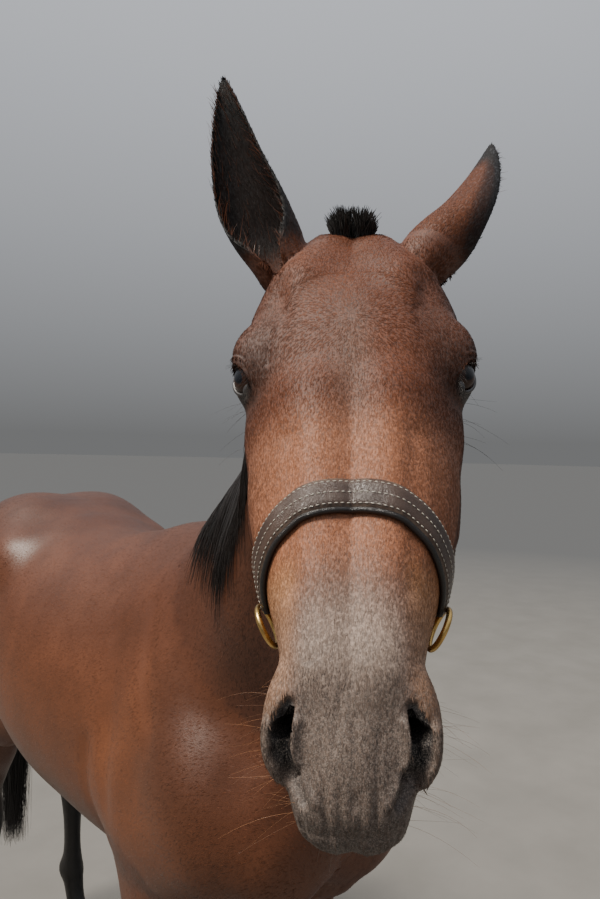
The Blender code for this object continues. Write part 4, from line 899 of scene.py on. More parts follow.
def detail_strokes(plain):
    pair = dict(frame=HEAD, paired=True, side=1)

    def laid(points):
        return list(to_head(plain.onto(np.array([in_head(p) for p in points]), 0.0, 6)))

    def arc(start, end, reach):
        turns = np.radians(np.linspace(start, end, 7))
        return laid([lid_point(t, reach, 0.002 + 0.020 * (reach - 1)) for t in turns])

    upper = -1 if eye_axes()[1].z < 0 else 1
    made = [
        # folds over the upper lid, one under the lower lid, the tear corner
        Stroke(arc(15 * upper, 165 * upper, 1.22), 0.0018, -0.0014, **pair),
        Stroke(arc(20 * upper, 160 * upper, 1.38), 0.0020, 0.0010, **pair),
        Stroke(arc(25 * upper, 155 * upper, 1.56), 0.0020, -0.0010, **pair),
        Stroke(arc(-20 * upper, -150 * upper, 1.30), 0.0020, -0.0009, **pair),
        # rims of the nostril, outside and inside
        Stroke(laid([(s, y + 0.0115, z - 0.010) for s, y, z in NOSTRIL[1:-1]]), 0.0060, 0.0030, **pair),
        Stroke(laid([(s, y - 0.0115, z + 0.004) for s, y, z in NOSTRIL[1:]]), 0.0040, 0.0020, **pair),
        # veins of the cheek and nose
        Stroke([(0.290, 0.100, -0.105), (0.330, 0.088, -0.070), (0.385, 0.070, -0.040), (0.430, 0.057, -0.030)],
               0.0045, 0.0022, **pair),
        Stroke([(0.385, 0.070, -0.040), (0.430, 0.062, -0.060), (0.475, 0.055, -0.062)], 0.0035, 0.0016, **pair),
        # wrinkles over the nostril and on the lips
        Stroke([(0.500, 0.030, 0.000), (0.515, 0.044, -0.012)], 0.004, -0.0014, **pair),
        Stroke(laid([(0.548, 0.020, -0.010), (0.575, 0.016, -0.026), (0.600, 0.012, -0.056)]), 0.0026, -0.0024, **pair),
        Stroke(laid([(0.566, 0.031, -0.030), (0.588, 0.025, -0.048), (0.602, 0.021, -0.066)]), 0.0024, -0.0020, **pair),
        Stroke(laid([(0.578, 0.007, -0.026), (0.600, 0.006, -0.050), (0.609, 0.006, -0.070)]), 0.0022, -0.0020, **pair),
    ]
    for low, high in (((0.538, 0.003, -0.004), (0.606, 0.002, -0.066)), ((0.520, -0.006, 0.0), (0.556, -0.010, -0.016))):
        middle = [(a + b) / 2 for a, b in zip(low, high)]
        made.append(Stroke(laid([low, middle, high]), 0.0026, -0.0022, frame=HEAD))
    crease = laid([(0.166, -0.080, 0.0), (0.186, -0.082, 0.003), (0.206, -0.083, -0.002)])
    made.append(Stroke(crease, 0.0026, -0.0030, frame=HEAD))
    # softer beside the temples than the solids
    made.append(Stroke([(0.115, 0.066, 0.012), (0.150, 0.066, 0.010), (0.205, 0.070, 0.008)], 0.012, 0.0026, **pair))
    # notch between the halves of the upper lip
    made.append(Stroke(laid([(0.598, 0.002, -0.050), (0.612, 0.001, -0.072), (0.612, 0.0, -0.088)]), 0.0050, -0.0034,
                       frame=HEAD))
    body = dict(paired=True, side=0)
    made += [
        # creases of the elbow and stifle, groove of the jugular vein, muscles of the shoulder
        Stroke([(0.20, -0.36, 0.95), (0.235, -0.33, 1.05), (0.25, -0.33, 1.15)], 0.020, -0.006, **body),
        Stroke([(0.245, 0.335, 0.93), (0.262, 0.28, 1.05), (0.262, 0.26, 1.18)], 0.024, -0.007, **body),
        Stroke([(0.225, -0.60, 1.20), (0.225, -0.52, 1.32), (0.19, -0.45, 1.45)], 0.022, -0.006, **body),
        Stroke([(0.245, -0.44, 1.08), (0.245, -0.40, 1.22), (0.215, -0.36, 1.38)], 0.030, -0.007, **body),
        Stroke([(0.18, 0.62, 1.50), (0.23, 0.60, 1.32), (0.235, 0.62, 1.10)], 0.024, -0.006, **body),
    ]
    return made


def plain_shape():
    return whole_horse()


def fine_shape(plain):
    cuts, line = nostril_cuts(plain)
    shape = Shape(plain.added + detail_forms(), plain.cut + cuts, plain.strokes + detail_strokes(plain))
    return shape, line


def refined(mesh, wanted):
    """The mesh with twice as many edges where wanted says so."""
    flags = wanted(points_of(mesh))
    bm = bmesh.new()
    bm.from_mesh(mesh)
    bm.verts.ensure_lookup_table()
    edges = [e for e in bm.edges if flags[e.verts[0].index] and flags[e.verts[1].index]]
    bmesh.ops.subdivide_edges(bm, edges=edges, cuts=1, use_grid_fill=True)
    bm.to_mesh(mesh)
    bm.free()
    return mesh


def settled(mesh, shape, height, rounds, relaxing=1):
    for i in range(rounds):
        if i < rounds - 1:
            set_points(mesh, relaxed(mesh, points_of(mesh), relaxing))
        points = points_of(mesh)
        step = np.clip(shape.distance(points) - height, -LONGEST_STEP, LONGEST_STEP)
        set_points(mesh, points - normals_of(mesh) * step[:, None])
    return mesh


def on_head(points):
    s, y, z = to_head(points).T
    return (s > -0.045) & (s < 0.68) & (np.abs(y) < 0.16) & (z < 0.08) & (z > -0.33 + 0.25 * np.maximum(0.12 - s, 0))


def on_muzzle_or_eyes(points):
    at = to_head(points)
    near_eye = np.linalg.norm(at * (1, 0, 1) + np.abs(at) * (0, 1, 0) - np.array(EYE_AT), axis=1) < 0.050
    return (at[:, 0] > 0.490) & on_head(points) | near_eye


def eye_ball(sign):
    return in_head((EYE_AT.x, sign * EYE_AT.y, EYE_AT.z))


def eye_frame(sign):
    """World axes of an eye: along its lids, across them, outward."""
    return np.array([along_head((v.x, sign * v.y, v.z)) for v in eye_axes()]).T


def eye_cutters(sign):
    ball = bead(eye_ball(sign), (EYE_RADIUS + 0.0006,) * 3, finer=5)
    axes = eye_frame(sign)
    almond = bead(eye_ball(sign) + axes[:, 2] * 0.024, (EYE_LONG, EYE_TALL, 0.0175), axes, 4)
    return [ball, almond]


def nostril_cutter(line, sign):
    """The way into the nose, behind each nostril's comma."""
    way_in = line[1] * 0.75 + line[2] * 0.25
    path = [way_in + (0.004, 0.0, -0.002), way_in + (-0.010, -0.007, -0.020), way_in + (-0.045, -0.020, -0.044)]
    path = smooth_rows([in_head((p[0], sign * p[1], p[2])) for p in path], 4)
    deep = smooth_rows([in_head((p[0], sign * p[1], p[2])) for p in line[:-1] - (0, 0.0060, 0.0070)], 4)
    radii = np.interp(np.linspace(0, 1, len(deep)), (0, .3, .6, 1), (.0056, .0082, .0070, .0034))
    return [tube(path, np.linspace(0.0100, 0.0065, len(path)), 16), tube(deep, radii, 16)]


def mouth_cutter():
    half = smooth_rows(MOUTH, 6)
    path = np.vstack([half[::-1] * (1, -1, 1), half[1:]])
    outer = np.array([[in_head(p + (0.012, 0, 0.0014)), in_head(p + (0.012, 0, -0.0014))] for p in path])
    inner = np.array([in_head(p * (1, 0.80, 1) - (0.010, 0, 0)) for p in path])
    return outward(wedge(outer, inner))


def wedge(outer, inner):
    n = len(outer)
    points = np.vstack([outer[:, 0], outer[:, 1], inner])
    faces = [(0, n, 2 * n), (n - 1, 3 * n - 1, 2 * n - 1)]
    for i in range(n - 1):
        for a, b in ((0, 1), (1, 2), (2, 0)):
            faces.append((a * n + i, a * n + i + 1, b * n + i + 1, b * n + i))
    return solid(points, faces)


def slab(top, low):
    """A closed sheet between two grids of points."""
    n, m = top.shape[:2]
    points = np.vstack([top.reshape(-1, 3), low.reshape(-1, 3)])
    faces, off = [], n * m
    for i in range(n - 1):
        for j in range(m - 1):
            a, b, c, d = i * m + j, i * m + j + 1, (i + 1) * m + j + 1, (i + 1) * m + j
            faces += [(a, b, c), (a, c, d), (off + c, off + b, off + a), (off + d, off + c, off + a)]
    rim = [(0, j) for j in range(m)] + [(i, m - 1) for i in range(1, n)]
    rim += [(n - 1, j) for j in range(m - 2, -1, -1)] + [(i, 0) for i in range(n - 2, 0, -1)]
    rim = [i * m + j for i, j in rim]
    for a, b in zip(rim, rim[1:] + rim[:1]):
        faces.append((b, a, off + a, off + b))
    return outward(solid(points, faces))


# Ears
EAR_LENGTH = 0.232
EAR_BOW = 0.015
EARS = {
    "right": ((0.043, -0.079, -0.022), (-0.190, -0.074, 0.130), (0.55, -0.25, 0.80)),
    "left": ((0.043, 0.079, -0.022), (-0.187, 0.090, 0.001), (-0.38, 0.73, -0.57)),
}
EAR_ROWS = [
    # height, half width, depth of cup, half angle of the shell, thickness
    (-0.044, 0.016, 0.016, 172, 0.0090),
    (-0.014, 0.031, 0.030, 170, 0.0090),
    (0.018, 0.037, 0.035, 152, 0.0078),
    (0.050, 0.041, 0.034, 120, 0.0060),
    (0.088, 0.041, 0.028, 100, 0.0050),
    (0.130, 0.034, 0.022, 92, 0.0046),
    (0.168, 0.0255, 0.015, 88, 0.0042),
    (0.204, 0.015, 0.008, 86, 0.0038),
    (EAR_LENGTH, 0.004, 0.003, 84, 0.0032),
]


def ear_axes(name):
    base, tip, opens = EARS[name]
    base, axis, front = in_head(base), unit(along_head(tip)), along_head(opens)
    front = unit(front - axis * (front @ axis))
    return base, axis, front, np.cross(axis, front)


def ear_line(name, up):
    """How far an ear's middle is from its base at a height; the ear is bowed outward."""
    _, axis, front, _ = ear_axes(name)
    away = along_head((0, EARS[name][0][1], 0))
    away = unit(away - axis * (away @ axis)) * EAR_BOW
    up = np.asarray(up, float)[..., None]
    share = np.maximum(up, 0) / EAR_LENGTH
    return axis * up - front * 0.006 * share**2 + away * np.sin(math.pi * share)


def ear_surface(name, inset=0.0):
    """Rows of points on the outside and inside of an ear's shell."""
    base, axis, front, side = ear_axes(name)
    outer, inner = [], []
    for up, wide, deep, open_to, thick in smooth_rows(EAR_ROWS, 5):
        centre = base + ear_line(name, up)
        angles = np.radians(np.linspace(-open_to, open_to, 29))
        back, across = -front[None] * np.cos(angles)[:, None], side[None] * np.sin(angles)[:, None]
        thin = thick * (0.35 + 0.65 * np.cos(angles * 90 / open_to))[:, None]
        outer.append(centre + back * (deep - inset) + across * (wide - inset))
        inner.append(centre + back * (deep - inset - thin) + across * (wide - inset - thin))
    return np.array(outer), np.array(inner)


def ear_mesh(name):
    return slab(*ear_surface(name, COAT_DEPTH * 0.4))


# Places where the field has a small step, in the part's frame: middle and radius
UNEVEN_SPOTS = (((0.150, -0.625, 1.235), 0.085), ((0.110, 0.690, 0.990), 0.085))


def make_skin(plain, shape, nostril_line):
    mesh = fitted(remeshed(filled(plain.added), SKIN_VOXEL), plain)
    mesh = settled(refined(mesh, on_head), shape, -COAT_DEPTH, 3)
    mesh = settled(refined(mesh, on_head), shape, -COAT_DEPTH, 3)
    mesh = settled(refined(mesh, on_muzzle_or_eyes), shape, -COAT_DEPTH, 5)
    bm = bmesh.new()
    bm.from_mesh(mesh)
    bmesh.ops.triangulate(bm, faces=bm.faces)
    bm.to_mesh(mesh)
    bm.free()
    cutters = [mouth_cutter()]
    for sign in (1, -1):
        cutters += eye_cutters(sign) + nostril_cutter(nostril_line, sign)
    mesh = largest(combined(mesh, cutters, "DIFFERENCE"))
    mesh = largest(combined(mesh, [ear_mesh(name) for name in EARS], "UNION"))
    points, gaps = points_of(mesh), np.full(len(mesh.vertices), 9.0)
    for name in EARS:
        base = ear_axes(name)[0]
        near = np.linalg.norm(points - base, axis=1) < 0.075
        gaps[near] = np.abs(shape.distance(points[near]) + COAT_DEPTH)
    joint = gaps < 0.005
    soft = relaxed(mesh, points, 6)
    points[joint] = soft[joint]
    # the body's field has a small step where neck and breast meet, and two under the buttocks
    even = relaxed(mesh, points, 80)
    for spot, reach in UNEVEN_SPOTS:
        near = 1 - soft_step(0.6 * reach, reach, np.linalg.norm(points - np.array(Vector(spot) - MOVE), axis=1))
        points = points + (even - points) * near[:, None]
    set_points(mesh, points)
    return mesh


# The lie of the coat, and the markings
def main_lofts():
    lofts = [torso_forms()[0], neck_forms()[0], head_forms()[0]]
    for name, side in SIDES:
        lofts += [foreleg_forms(side, FORE_AHEAD[name])[0], hindleg_forms(side, HIND_BACK[name])[0]]
    return lofts


TORSO, NECK, FACE = 0, 1, 2
LIE_SIGN = (1, -1, 1, 1, 1, 1, 1)


class Lay:
    """For each point: its region, the way the hair lies, and its place along and round that region."""

    def __init__(self, points):
        n = len(points)
        best, second = np.full(n, 9.0), np.full(n, 9.0)
        self.region = np.zeros(n, int)
        self.lie, self.grain, self.round = np.zeros((n, 3)), np.zeros((n, 3)), np.zeros((n, 3))
        for number, loft in enumerate(main_lofts()):
            every = loft.local(points)
            near = np.flatnonzero(((every > loft.low - 0.25) & (every < loft.high + 0.25)).all(axis=1))
            length = np.linalg.norm(np.diff(loft.centre, axis=0), axis=1).sum()
            for index in np.array_split(near, max(1, len(near) // 12000)):
                at = every[index]
                t = loft.nearest(at)
                off = at - loft.between(loft.centre, t)
                a, b, c = ((off * loft.between(way, t)).sum(axis=1) for way in (loft.wide, loft.rise, loft.run))
                width, up, down = loft.between(loft.sizes, t).T[:3]
                height = np.where(b > 0, up, down)
                depth = np.sqrt((a / width) ** 2 + (b / height) ** 2 + (c / 0.05) ** 2)
                gap = (depth - 1) * np.minimum(width, height)
                closer = gap < best[index]
                second[index] = np.where(closer, best[index], np.minimum(second[index], gap))
                chosen = index[closer]
                best[chosen] = gap[closer]
                share = t / (len(loft.centre) - 1)
                self.region[chosen] = number
                self.grain[chosen] = np.stack([share * length, a, b], axis=1)[closer]
                self.round[chosen] = np.stack([share, a / width, b / height], axis=1)[closer]
                way = loft.between(loft.run, t)[closer] * LIE_SIGN[number]
                self.lie[chosen] = way @ loft.place[:3, :3].T
        self.sure = soft_step(0.0, 0.03, second - best)


def lie_on(points, normals, lay):
    """The way the hair lies, along the surface, with the parts that hang or turn."""
    lie = lay.lie.copy()
    down = np.array((0, 0, -1.0))
    barrel = lay.region == TORSO
    side = np.abs(normals[:, 0])
    lie[barrel] += (down * 0.9 * side[:, None])[barrel]
    neck = lay.region == NECK
    lie[neck] += (down * 0.5 * side[:, None])[neck]
    at = to_head(points)
    face = (lay.region == FACE) & (at[:, 2] > -0.05)
    whorl = at[:, :2] - (0.165, 0.0)
    reach = np.linalg.norm(whorl, axis=1)
    fan = (whorl / np.maximum(reach, 0.01)[:, None]) @ np.array([along_head((1, 0, 0)), along_head((0, 1, 0))])
    share = (1 - soft_step(0.03, 0.11, reach))[:, None] * face[:, None]
    lie = lie * (1 - share) + fan * share
    for name in EARS:
        base, axis, front, _ = ear_axes(name)
        up = (points - base) @ axis
        off = np.linalg.norm(points - base - ear_line(name, up), axis=1)
        on_ear = (up > 0.01) & (off < 0.06) & (up < EAR_LENGTH + 0.01)
        lie[on_ear] = axis
    lie -= normals * (lie * normals).sum(axis=1)[:, None]
    return unit(lie)


def from_nostril(at):
    """Distance of points in the head frame to the line of the nearer nostril."""
    at = at * (1, 0, 1) + np.abs(at) * (0, 1, 0)
    line = np.array(NOSTRIL)
    best = np.full(len(at), 9.0)
    for a, b in zip(line[:-1], line[1:]):
        share = np.clip(((at - a) @ (b - a)) / ((b - a) @ (b - a)), 0, 1)[:, None]
        best = np.minimum(best, np.linalg.norm(at - a - share * (b - a), axis=1))
    return best


BAY = np.array((0.098, 0.032, 0.0135))
BRIGHT_BAY = np.array((0.165, 0.055, 0.0190))
DARK_BAY = np.array((0.040, 0.0165, 0.010))
BLACK = np.array((0.0085, 0.0075, 0.0072))
MUZZLE_GREY = np.array((0.128, 0.098, 0.080))
MUZZLE_DARK = np.array((0.030, 0.026, 0.026))
TAN = np.array((0.260, 0.120, 0.052))


PLAIN = whole_horse()


def tint_of(points, normals, lay):
    """The coat's colour at each point, from its place on the horse."""
    n = len(points)
    tint = np.tile(BAY, (n, 1))
    x, y, z = points.T
    at = to_head(points)
    s, across, out = at[:, 0], np.abs(at[:, 1]), at[:, 2]
    # shoulder, flank and quarters are brighter and the top line darker; the neck is darker, with painted shade toward
    # the throat's side and on the breast under the head
    torso = lay.region == TORSO
    bright = np.exp(-((y + 0.55) ** 2) / 0.05 - (z - 1.12) ** 2 / 0.05) + np.exp(-((y - 0.10) ** 2) / 0.25 - (z - 1.05) ** 2 / 0.06)
    tint = mixed(tint, BRIGHT_BAY, np.clip(bright, 0, 1) * 0.55 * torso)
    top = soft_step(1.47, 1.60, z) * torso
    tint = mixed(tint, DARK_BAY, top * 0.45)
    neck = lay.region == NECK
    # the whole neck a little darker, and more so toward the throat's side as painted shade under the head
    tint = mixed(tint, DARK_BAY, neck * (0.24 + 0.35 * soft_step(0.1, 0.9, lay.round[:, 2])))
    # painted shade on the breast, where the head's shadow falls
    painted_breast_shade = np.exp(-((y + 0.66) ** 2) / 0.012 - (z - 1.22) ** 2 / 0.03)
    tint = mixed(tint, DARK_BAY, np.clip(painted_breast_shade, 0, 1) * 0.55 * (torso | neck))
    # black points: below the knees and hocks
    for first, knee, reach in ((3, 0.50, 0.17), (4, 0.56, 0.18), (5, 0.50, 0.17), (6, 0.56, 0.18)):
        leg = lay.region == first
        tint = mixed(tint, DARK_BAY, leg * (1 - soft_step(knee, knee + 0.32, z)) * 0.9)
        tint = mixed(tint, BLACK, leg * (1 - soft_step(knee - reach * 0.3, knee + reach, z)))
    # face: painted shade round the eyes, at the sides and underneath, a painted highlight down the front of the nose
    # and a painted grey sheen down the forehead; greyer to the muzzle, with a painted highlight on its top, tan at the
    # sides over the nostrils
    face = on_head(points).astype(float)
    tint = mixed(tint, np.array((0.122, 0.038, 0.016)), face * 0.8)
    # painted highlight: the front of the nose brighter, where the light falls on it
    painted_bridge_light = soft_step(0.25, 0.31, s) * (1 - soft_step(0.40, 0.46, s)) * (out > -0.06)
    tint = mixed(tint, np.array((0.330, 0.135, 0.070)), face * painted_bridge_light * 0.75)
    temple = np.exp(-((s - 0.16) ** 2) / 0.0030 - (across - 0.082) ** 2 / 0.0009) * (out > -0.08)
    tint = mixed(tint, DARK_BAY * 1.5, face * temple * 0.55)
    # painted sheen: grey down the middle of the forehead
    painted_forehead_sheen = np.exp(-((s - 0.215) ** 2) / 0.0060 - across**2 / 0.0004) * (out > -0.02)
    tint = mixed(tint, MUZZLE_GREY * 1.25, face * painted_forehead_sheen * 0.30)
    # painted shade: darker toward the sides of the face
    tint = mixed(tint, DARK_BAY, face * 0.30 * soft_step(0.050, 0.095, across) * (out > -0.16))
    # painted shade: darker toward the underside of the head
    tint = mixed(tint, DARK_BAY, face * 0.35 * soft_step(-0.14, -0.24, out))
    eye = np.linalg.norm(np.stack([s, across, out], axis=1) - np.array(EYE_AT), axis=1)
    # painted shade round each eye, then the bare dark skin of the lids
    tint = mixed(tint, DARK_BAY * 0.9, face * (1 - soft_step(0.030, 0.060, eye)) * 0.75)
    tint = mixed(tint, MUZZLE_DARK * 0.55, face * (1 - soft_step(0.0265, 0.0310, eye)))
    tint = mixed(tint, TAN * 1.45, face * soft_step(0.034, 0.054, across) * soft_step(0.400, 0.440, s) * 0.85)
    grey = soft_step(0.400, 0.500, s + 0.35 * (0.04 - across)) * face
    # painted highlight: the top of the muzzle brighter, where the light falls
    painted_top_light = 1.85 - 0.85 * soft_step(0.46, 0.54, s)[:, None]
    tint = mixed(tint, MUZZLE_GREY * painted_top_light, grey * (0.92 - 0.35 * soft_step(0.030, 0.050, across) * (1 - soft_step(0.52, 0.55, s))))
    nostril = from_nostril(at)
    dark = (1 - soft_step(0.010, 0.024, nostril)) * 0.30 + soft_step(0.590, 0.614, s) * 0.35
    tint = mixed(tint, MUZZLE_DARK, np.clip(dark, 0, 1) * face * 0.85)
    near = face * (nostril < 0.040)
    sunk = np.zeros(n)
    if near.any():
        sunk[near > 0] = -PLAIN.distance(points[near > 0])
    # painted shade inside each nostril over its dark skin: darker the deeper below the plain surface, less dark in the
    # lower part, which is painted as lit
    low_part = soft_step(0.556, 0.574, s)
    tint = mixed(tint, MUZZLE_DARK * 0.9, soft_step(0.0026, 0.0060, sunk) * (1 - 0.65 * low_part))
    tint = mixed(tint, MUZZLE_DARK * 0.25, soft_step(0.0060, 0.0120, sunk) * (1 - 0.45 * low_part))
    tint = mixed(tint, MUZZLE_DARK, face * soft_step(0.50, 0.56, s) * soft_step(-0.085, -0.105, out) * 0.8)
    for name in EARS:
        base, axis, front, side = ear_axes(name)
        up = (points - base) @ axis
        off = points - base - ear_line(name, up)
        a, b = off @ side, off @ front
        here = (up > 0.004) & (up < EAR_LENGTH + 0.01) & (np.hypot(a, b) < 0.062)
        rim = np.degrees(np.arctan2(np.abs(a), -b - 0.006))
        table = np.array(EAR_ROWS)
        share = rim / np.interp(up, table[:, 0], table[:, 3])
        inside = (normals @ front > 0.15) & (share < 0.93)
        ear = np.tile(BAY * 1.05, (n, 1))
        ear = mixed(ear, DARK_BAY * 0.7, soft_step(0.55, 0.80, share))
        ear = mixed(ear, BLACK * 1.2, soft_step(0.86, 0.97, share))
        ear = mixed(ear, BLACK * 1.3, soft_step(0.155, 0.200, up))
        ear = mixed(ear, BLACK * 1.1, inside * 0.92 * (1 - soft_step(0.7, 1.0, share)))
        tint = mixed(tint, ear, here * soft_step(0.004, 0.030, up))
    return np.clip(tint, 0.004, 1)


# Where each tuft's patch lies on the bake map: one cell a region
CELLS = {0: (0, 0), 1: (1, 0), 2: (2, 0), 3: (3, 0), 4: (0, 1), 5: (1, 1), 6: (2, 1), "tail": (3, 1), "ears": (0, 2),
         "mane": (1, 2), "forelock": (2, 2), "fine": (3, 2)}
CELL_WIDE, CELL_TALL = 0.25, 1 / 3
PATCH = 0.003


def bake_place(cell, along, turn):
    """A place in a region's cell; along and turn run from 0 to 1."""
    column, row = CELLS[cell]
    u = (column + 0.03 + 0.94 * np.clip(turn, 0, 1)) * CELL_WIDE
    v = (row + 0.03 + 0.94 * np.clip(along, 0, 1)) * CELL_TALL
    return np.stack([u, v], axis=-1)


def bake_places(region, around):
    turn = np.arctan2(around[:, 2], around[:, 1]) / (2 * math.pi) + 0.5
    found = np.zeros((len(region), 2))
    for cell in range(7):
        here = region == cell
        found[here] = bake_place(cell, around[here, 0], turn[here])
    return found


class Skin:
    """The finished skin's points with what the tufts need to know there."""

    def __init__(self, mesh):
        self.points, self.normals = points_of(mesh), normals_of(mesh)
        self.triangles = triangles_of(mesh)
        lay = Lay(self.points)
        self.lay = lay
        self.lie = lie_on(self.points, self.normals, lay)
        self.tint = tint_of(self.points, self.normals, lay)
        corners = self.points[self.triangles]
        self.areas = np.linalg.norm(np.cross(corners[:, 1] - corners[:, 0], corners[:, 2] - corners[:, 0]), axis=1) / 2

    def dress(self, mesh):
        put_colour(mesh, "tint", self.tint)
        put_vector(mesh, "grain", self.lay.grain)
        put_number(mesh, "sure", self.lay.sure)
        put_number(mesh, "bare", bare_skin(self.points))
        put_number(mesh, "face", on_head(self.points).astype(float))

    def roots(self, chance, rng):
        """Random places, spread by area times the chance at each point of the mesh."""
        weight = self.areas * chance[self.triangles].mean(axis=1)
        count = rng.poisson(weight)
        faces = np.repeat(np.arange(len(weight)), count)
        u, v = rng.random(len(faces)), rng.random(len(faces))
        flip = u + v > 1
        u[flip], v[flip] = 1 - u[flip], 1 - v[flip]
        share = np.stack([1 - u - v, u, v], axis=1)
        corner = self.triangles[faces]

        def at(values):
            return (values[corner] * share[..., None]).sum(axis=1)

        return {
            "points": at(self.points),
            "normals": unit(at(self.normals)),
            "lie": unit(at(self.lie)),
            "tint": at(self.tint),
            "region": self.lay.region[corner[:, 0]],
            "around": at(self.lay.round),
        }


def bare_skin(points):
    """1 where the skin is hairless or nearly so: nostrils, lips and the rims of the eyes."""
    at = to_head(points)
    s, across, out = at[:, 0], np.abs(at[:, 1]), at[:, 2]
    eye = np.linalg.norm(np.stack([s, across, out], axis=1) - np.array(EYE_AT), axis=1)
    bare = 1 - soft_step(0.0262, 0.0300, eye)
    muzzle = soft_step(0.47, 0.56, s) * on_head(points)
    return np.clip(bare + muzzle * 0.8, 0, 1)


# Tufts of the short coat
def tuft_mesh(name, roots, length, width, lift, tone, rng, lean=0.2):
    """Flat tapered tufts that lie along the skin: two root points, two middle points and a tip each."""
    n = len(roots["points"])
    length = np.broadcast_to(length, n) * rng.uniform(0.7, 1.25, n)
    width = np.broadcast_to(width, n) * rng.uniform(0.7, 1.3, n)
    lift = np.broadcast_to(lift, n) * rng.uniform(0.5, 1.5, n)
    normal, lie = roots["normals"], roots["lie"]
    across = unit(np.cross(normal, lie))
    turn = rng.normal(0, lean, n)[:, None]
    way = unit(lie + across * turn)
    across = unit(np.cross(normal, way))
    root = roots["points"] - normal * 0.0006
    middle = root + way * (length * 0.5)[:, None] + normal * (0.0006 + lift * 0.55)[:, None]
    tip = root + way * length[:, None] + normal * (0.0004 + lift)[:, None]
    half = (across * width[:, None]) / 2
    points = np.stack([root - half * 0.8, root + half * 0.8, middle - half, middle + half, tip], axis=1)
    base = (np.arange(n) * 5)[:, None, None]
    faces = base + np.array([(0, 3, 1), (0, 2, 3), (2, 4, 3)])[None]
    mesh = mesh_of(name, points.reshape(-1, 3), faces.reshape(-1, 3))
    shade = np.exp(rng.normal(0, tone, n))[:, None]
    tint = np.repeat(np.clip(roots["tint"] * shade, 0.003, 1)[:, None], 5, axis=1).reshape(-1, 3)
    put_colour(mesh, "tint", tint)
    local = np.array([(-0.5, 0), (0.5, 0), (-0.5, 0.5), (0.5, 0.5), (0, 1)]) * PATCH
    places = roots["bake"][:, None] + local[None]
    put_bake_map(mesh, places.reshape(-1, 2))
    own = np.repeat(unit(normal + way * 0.06 + rng.normal(0, 0.06, (n, 3)))[:, None], 5, axis=1).reshape(-1, 3)
    mesh.shade_smooth()
    mesh.normals_split_custom_set_from_vertices(own)
    return mesh


def strand_mesh(name, paths, radii, tints, bakes, sides=3, flat=0.5):
    """Hair strands as thin tapered prisms. paths is strands by points by 3."""
    n, m = paths.shape[:2]
    run = unit(np.gradient(paths, axis=1))
    first = unit(np.cross(run, np.array((0.31, 0.52, 0.80))))
    second = np.cross(run, first)
    turns = np.arange(sides) * 2 * math.pi / sides
    ring = first[:, :, None] * np.cos(turns)[:, None] + second[:, :, None] * np.sin(turns)[:, None] * flat
    points = paths[:, :, None] + ring * radii[:, :, None, None]
    base = (np.arange(n) * m * sides)[:, None, None, None]
    ringed = (np.arange(m - 1) * sides)[None, :, None, None]
    faces = []
    for j in range(sides):
        k = (j + 1) % sides
        faces += [(j, sides + j, sides + k), (j, sides + k, k)]
    triangles = (base + ringed + np.array(faces)[None, None]).reshape(-1, 3)
    mesh = mesh_of(name, points.reshape(-1, 3), triangles)
    tint = np.broadcast_to(tints[:, None, None, :], (n, m, sides, 3)).reshape(-1, 3)
    put_colour(mesh, "tint", tint)
    along = np.broadcast_to((np.arange(m) / (m - 1))[None, :, None], (n, m, sides))
    around = np.broadcast_to((np.arange(sides) / sides - 0.5)[None, None], (n, m, sides))
    places = bakes[:, None, None] + np.stack([around, along], axis=-1) * PATCH
    put_bake_map(mesh, places.reshape(-1, 2))
    mesh.shade_smooth()
    return mesh


def falling_paths(shape, roots, lengthways, lengths, steps, heights, lean, rng, stray=0.05, follow=0.2):
    """Many paths at once that leave their roots and hang down over the body."""
    at = roots.copy()
    heading = np.asarray(lean, float) * 2 + lengthways
    heading = np.broadcast_to(heading, at.shape).copy()
    step = (lengths / steps)[:, None]
    paths = [at]
    for i in range(steps):
        heading = heading * 0.60 + np.array((0, 0, -0.8)) + lengthways * follow + rng.normal(0, stray, at.shape)
        heading = unit(heading)
        at = at + heading * step
        gap = shape.distance(at)
        low = gap < heights
        for _ in range(2):
            if low.any():
                push = shape.slope(at[low]) * (heights[low] - shape.distance(at[low]))[:, None]
                at[low] += push
        paths.append(at.copy())
    return np.stack(paths, axis=1)


# Materials
def new_material(name):
    made = bpy.data.materials.new(name)
    made.use_nodes = True
    return made, made.node_tree, made.node_tree.nodes["Principled BSDF"]


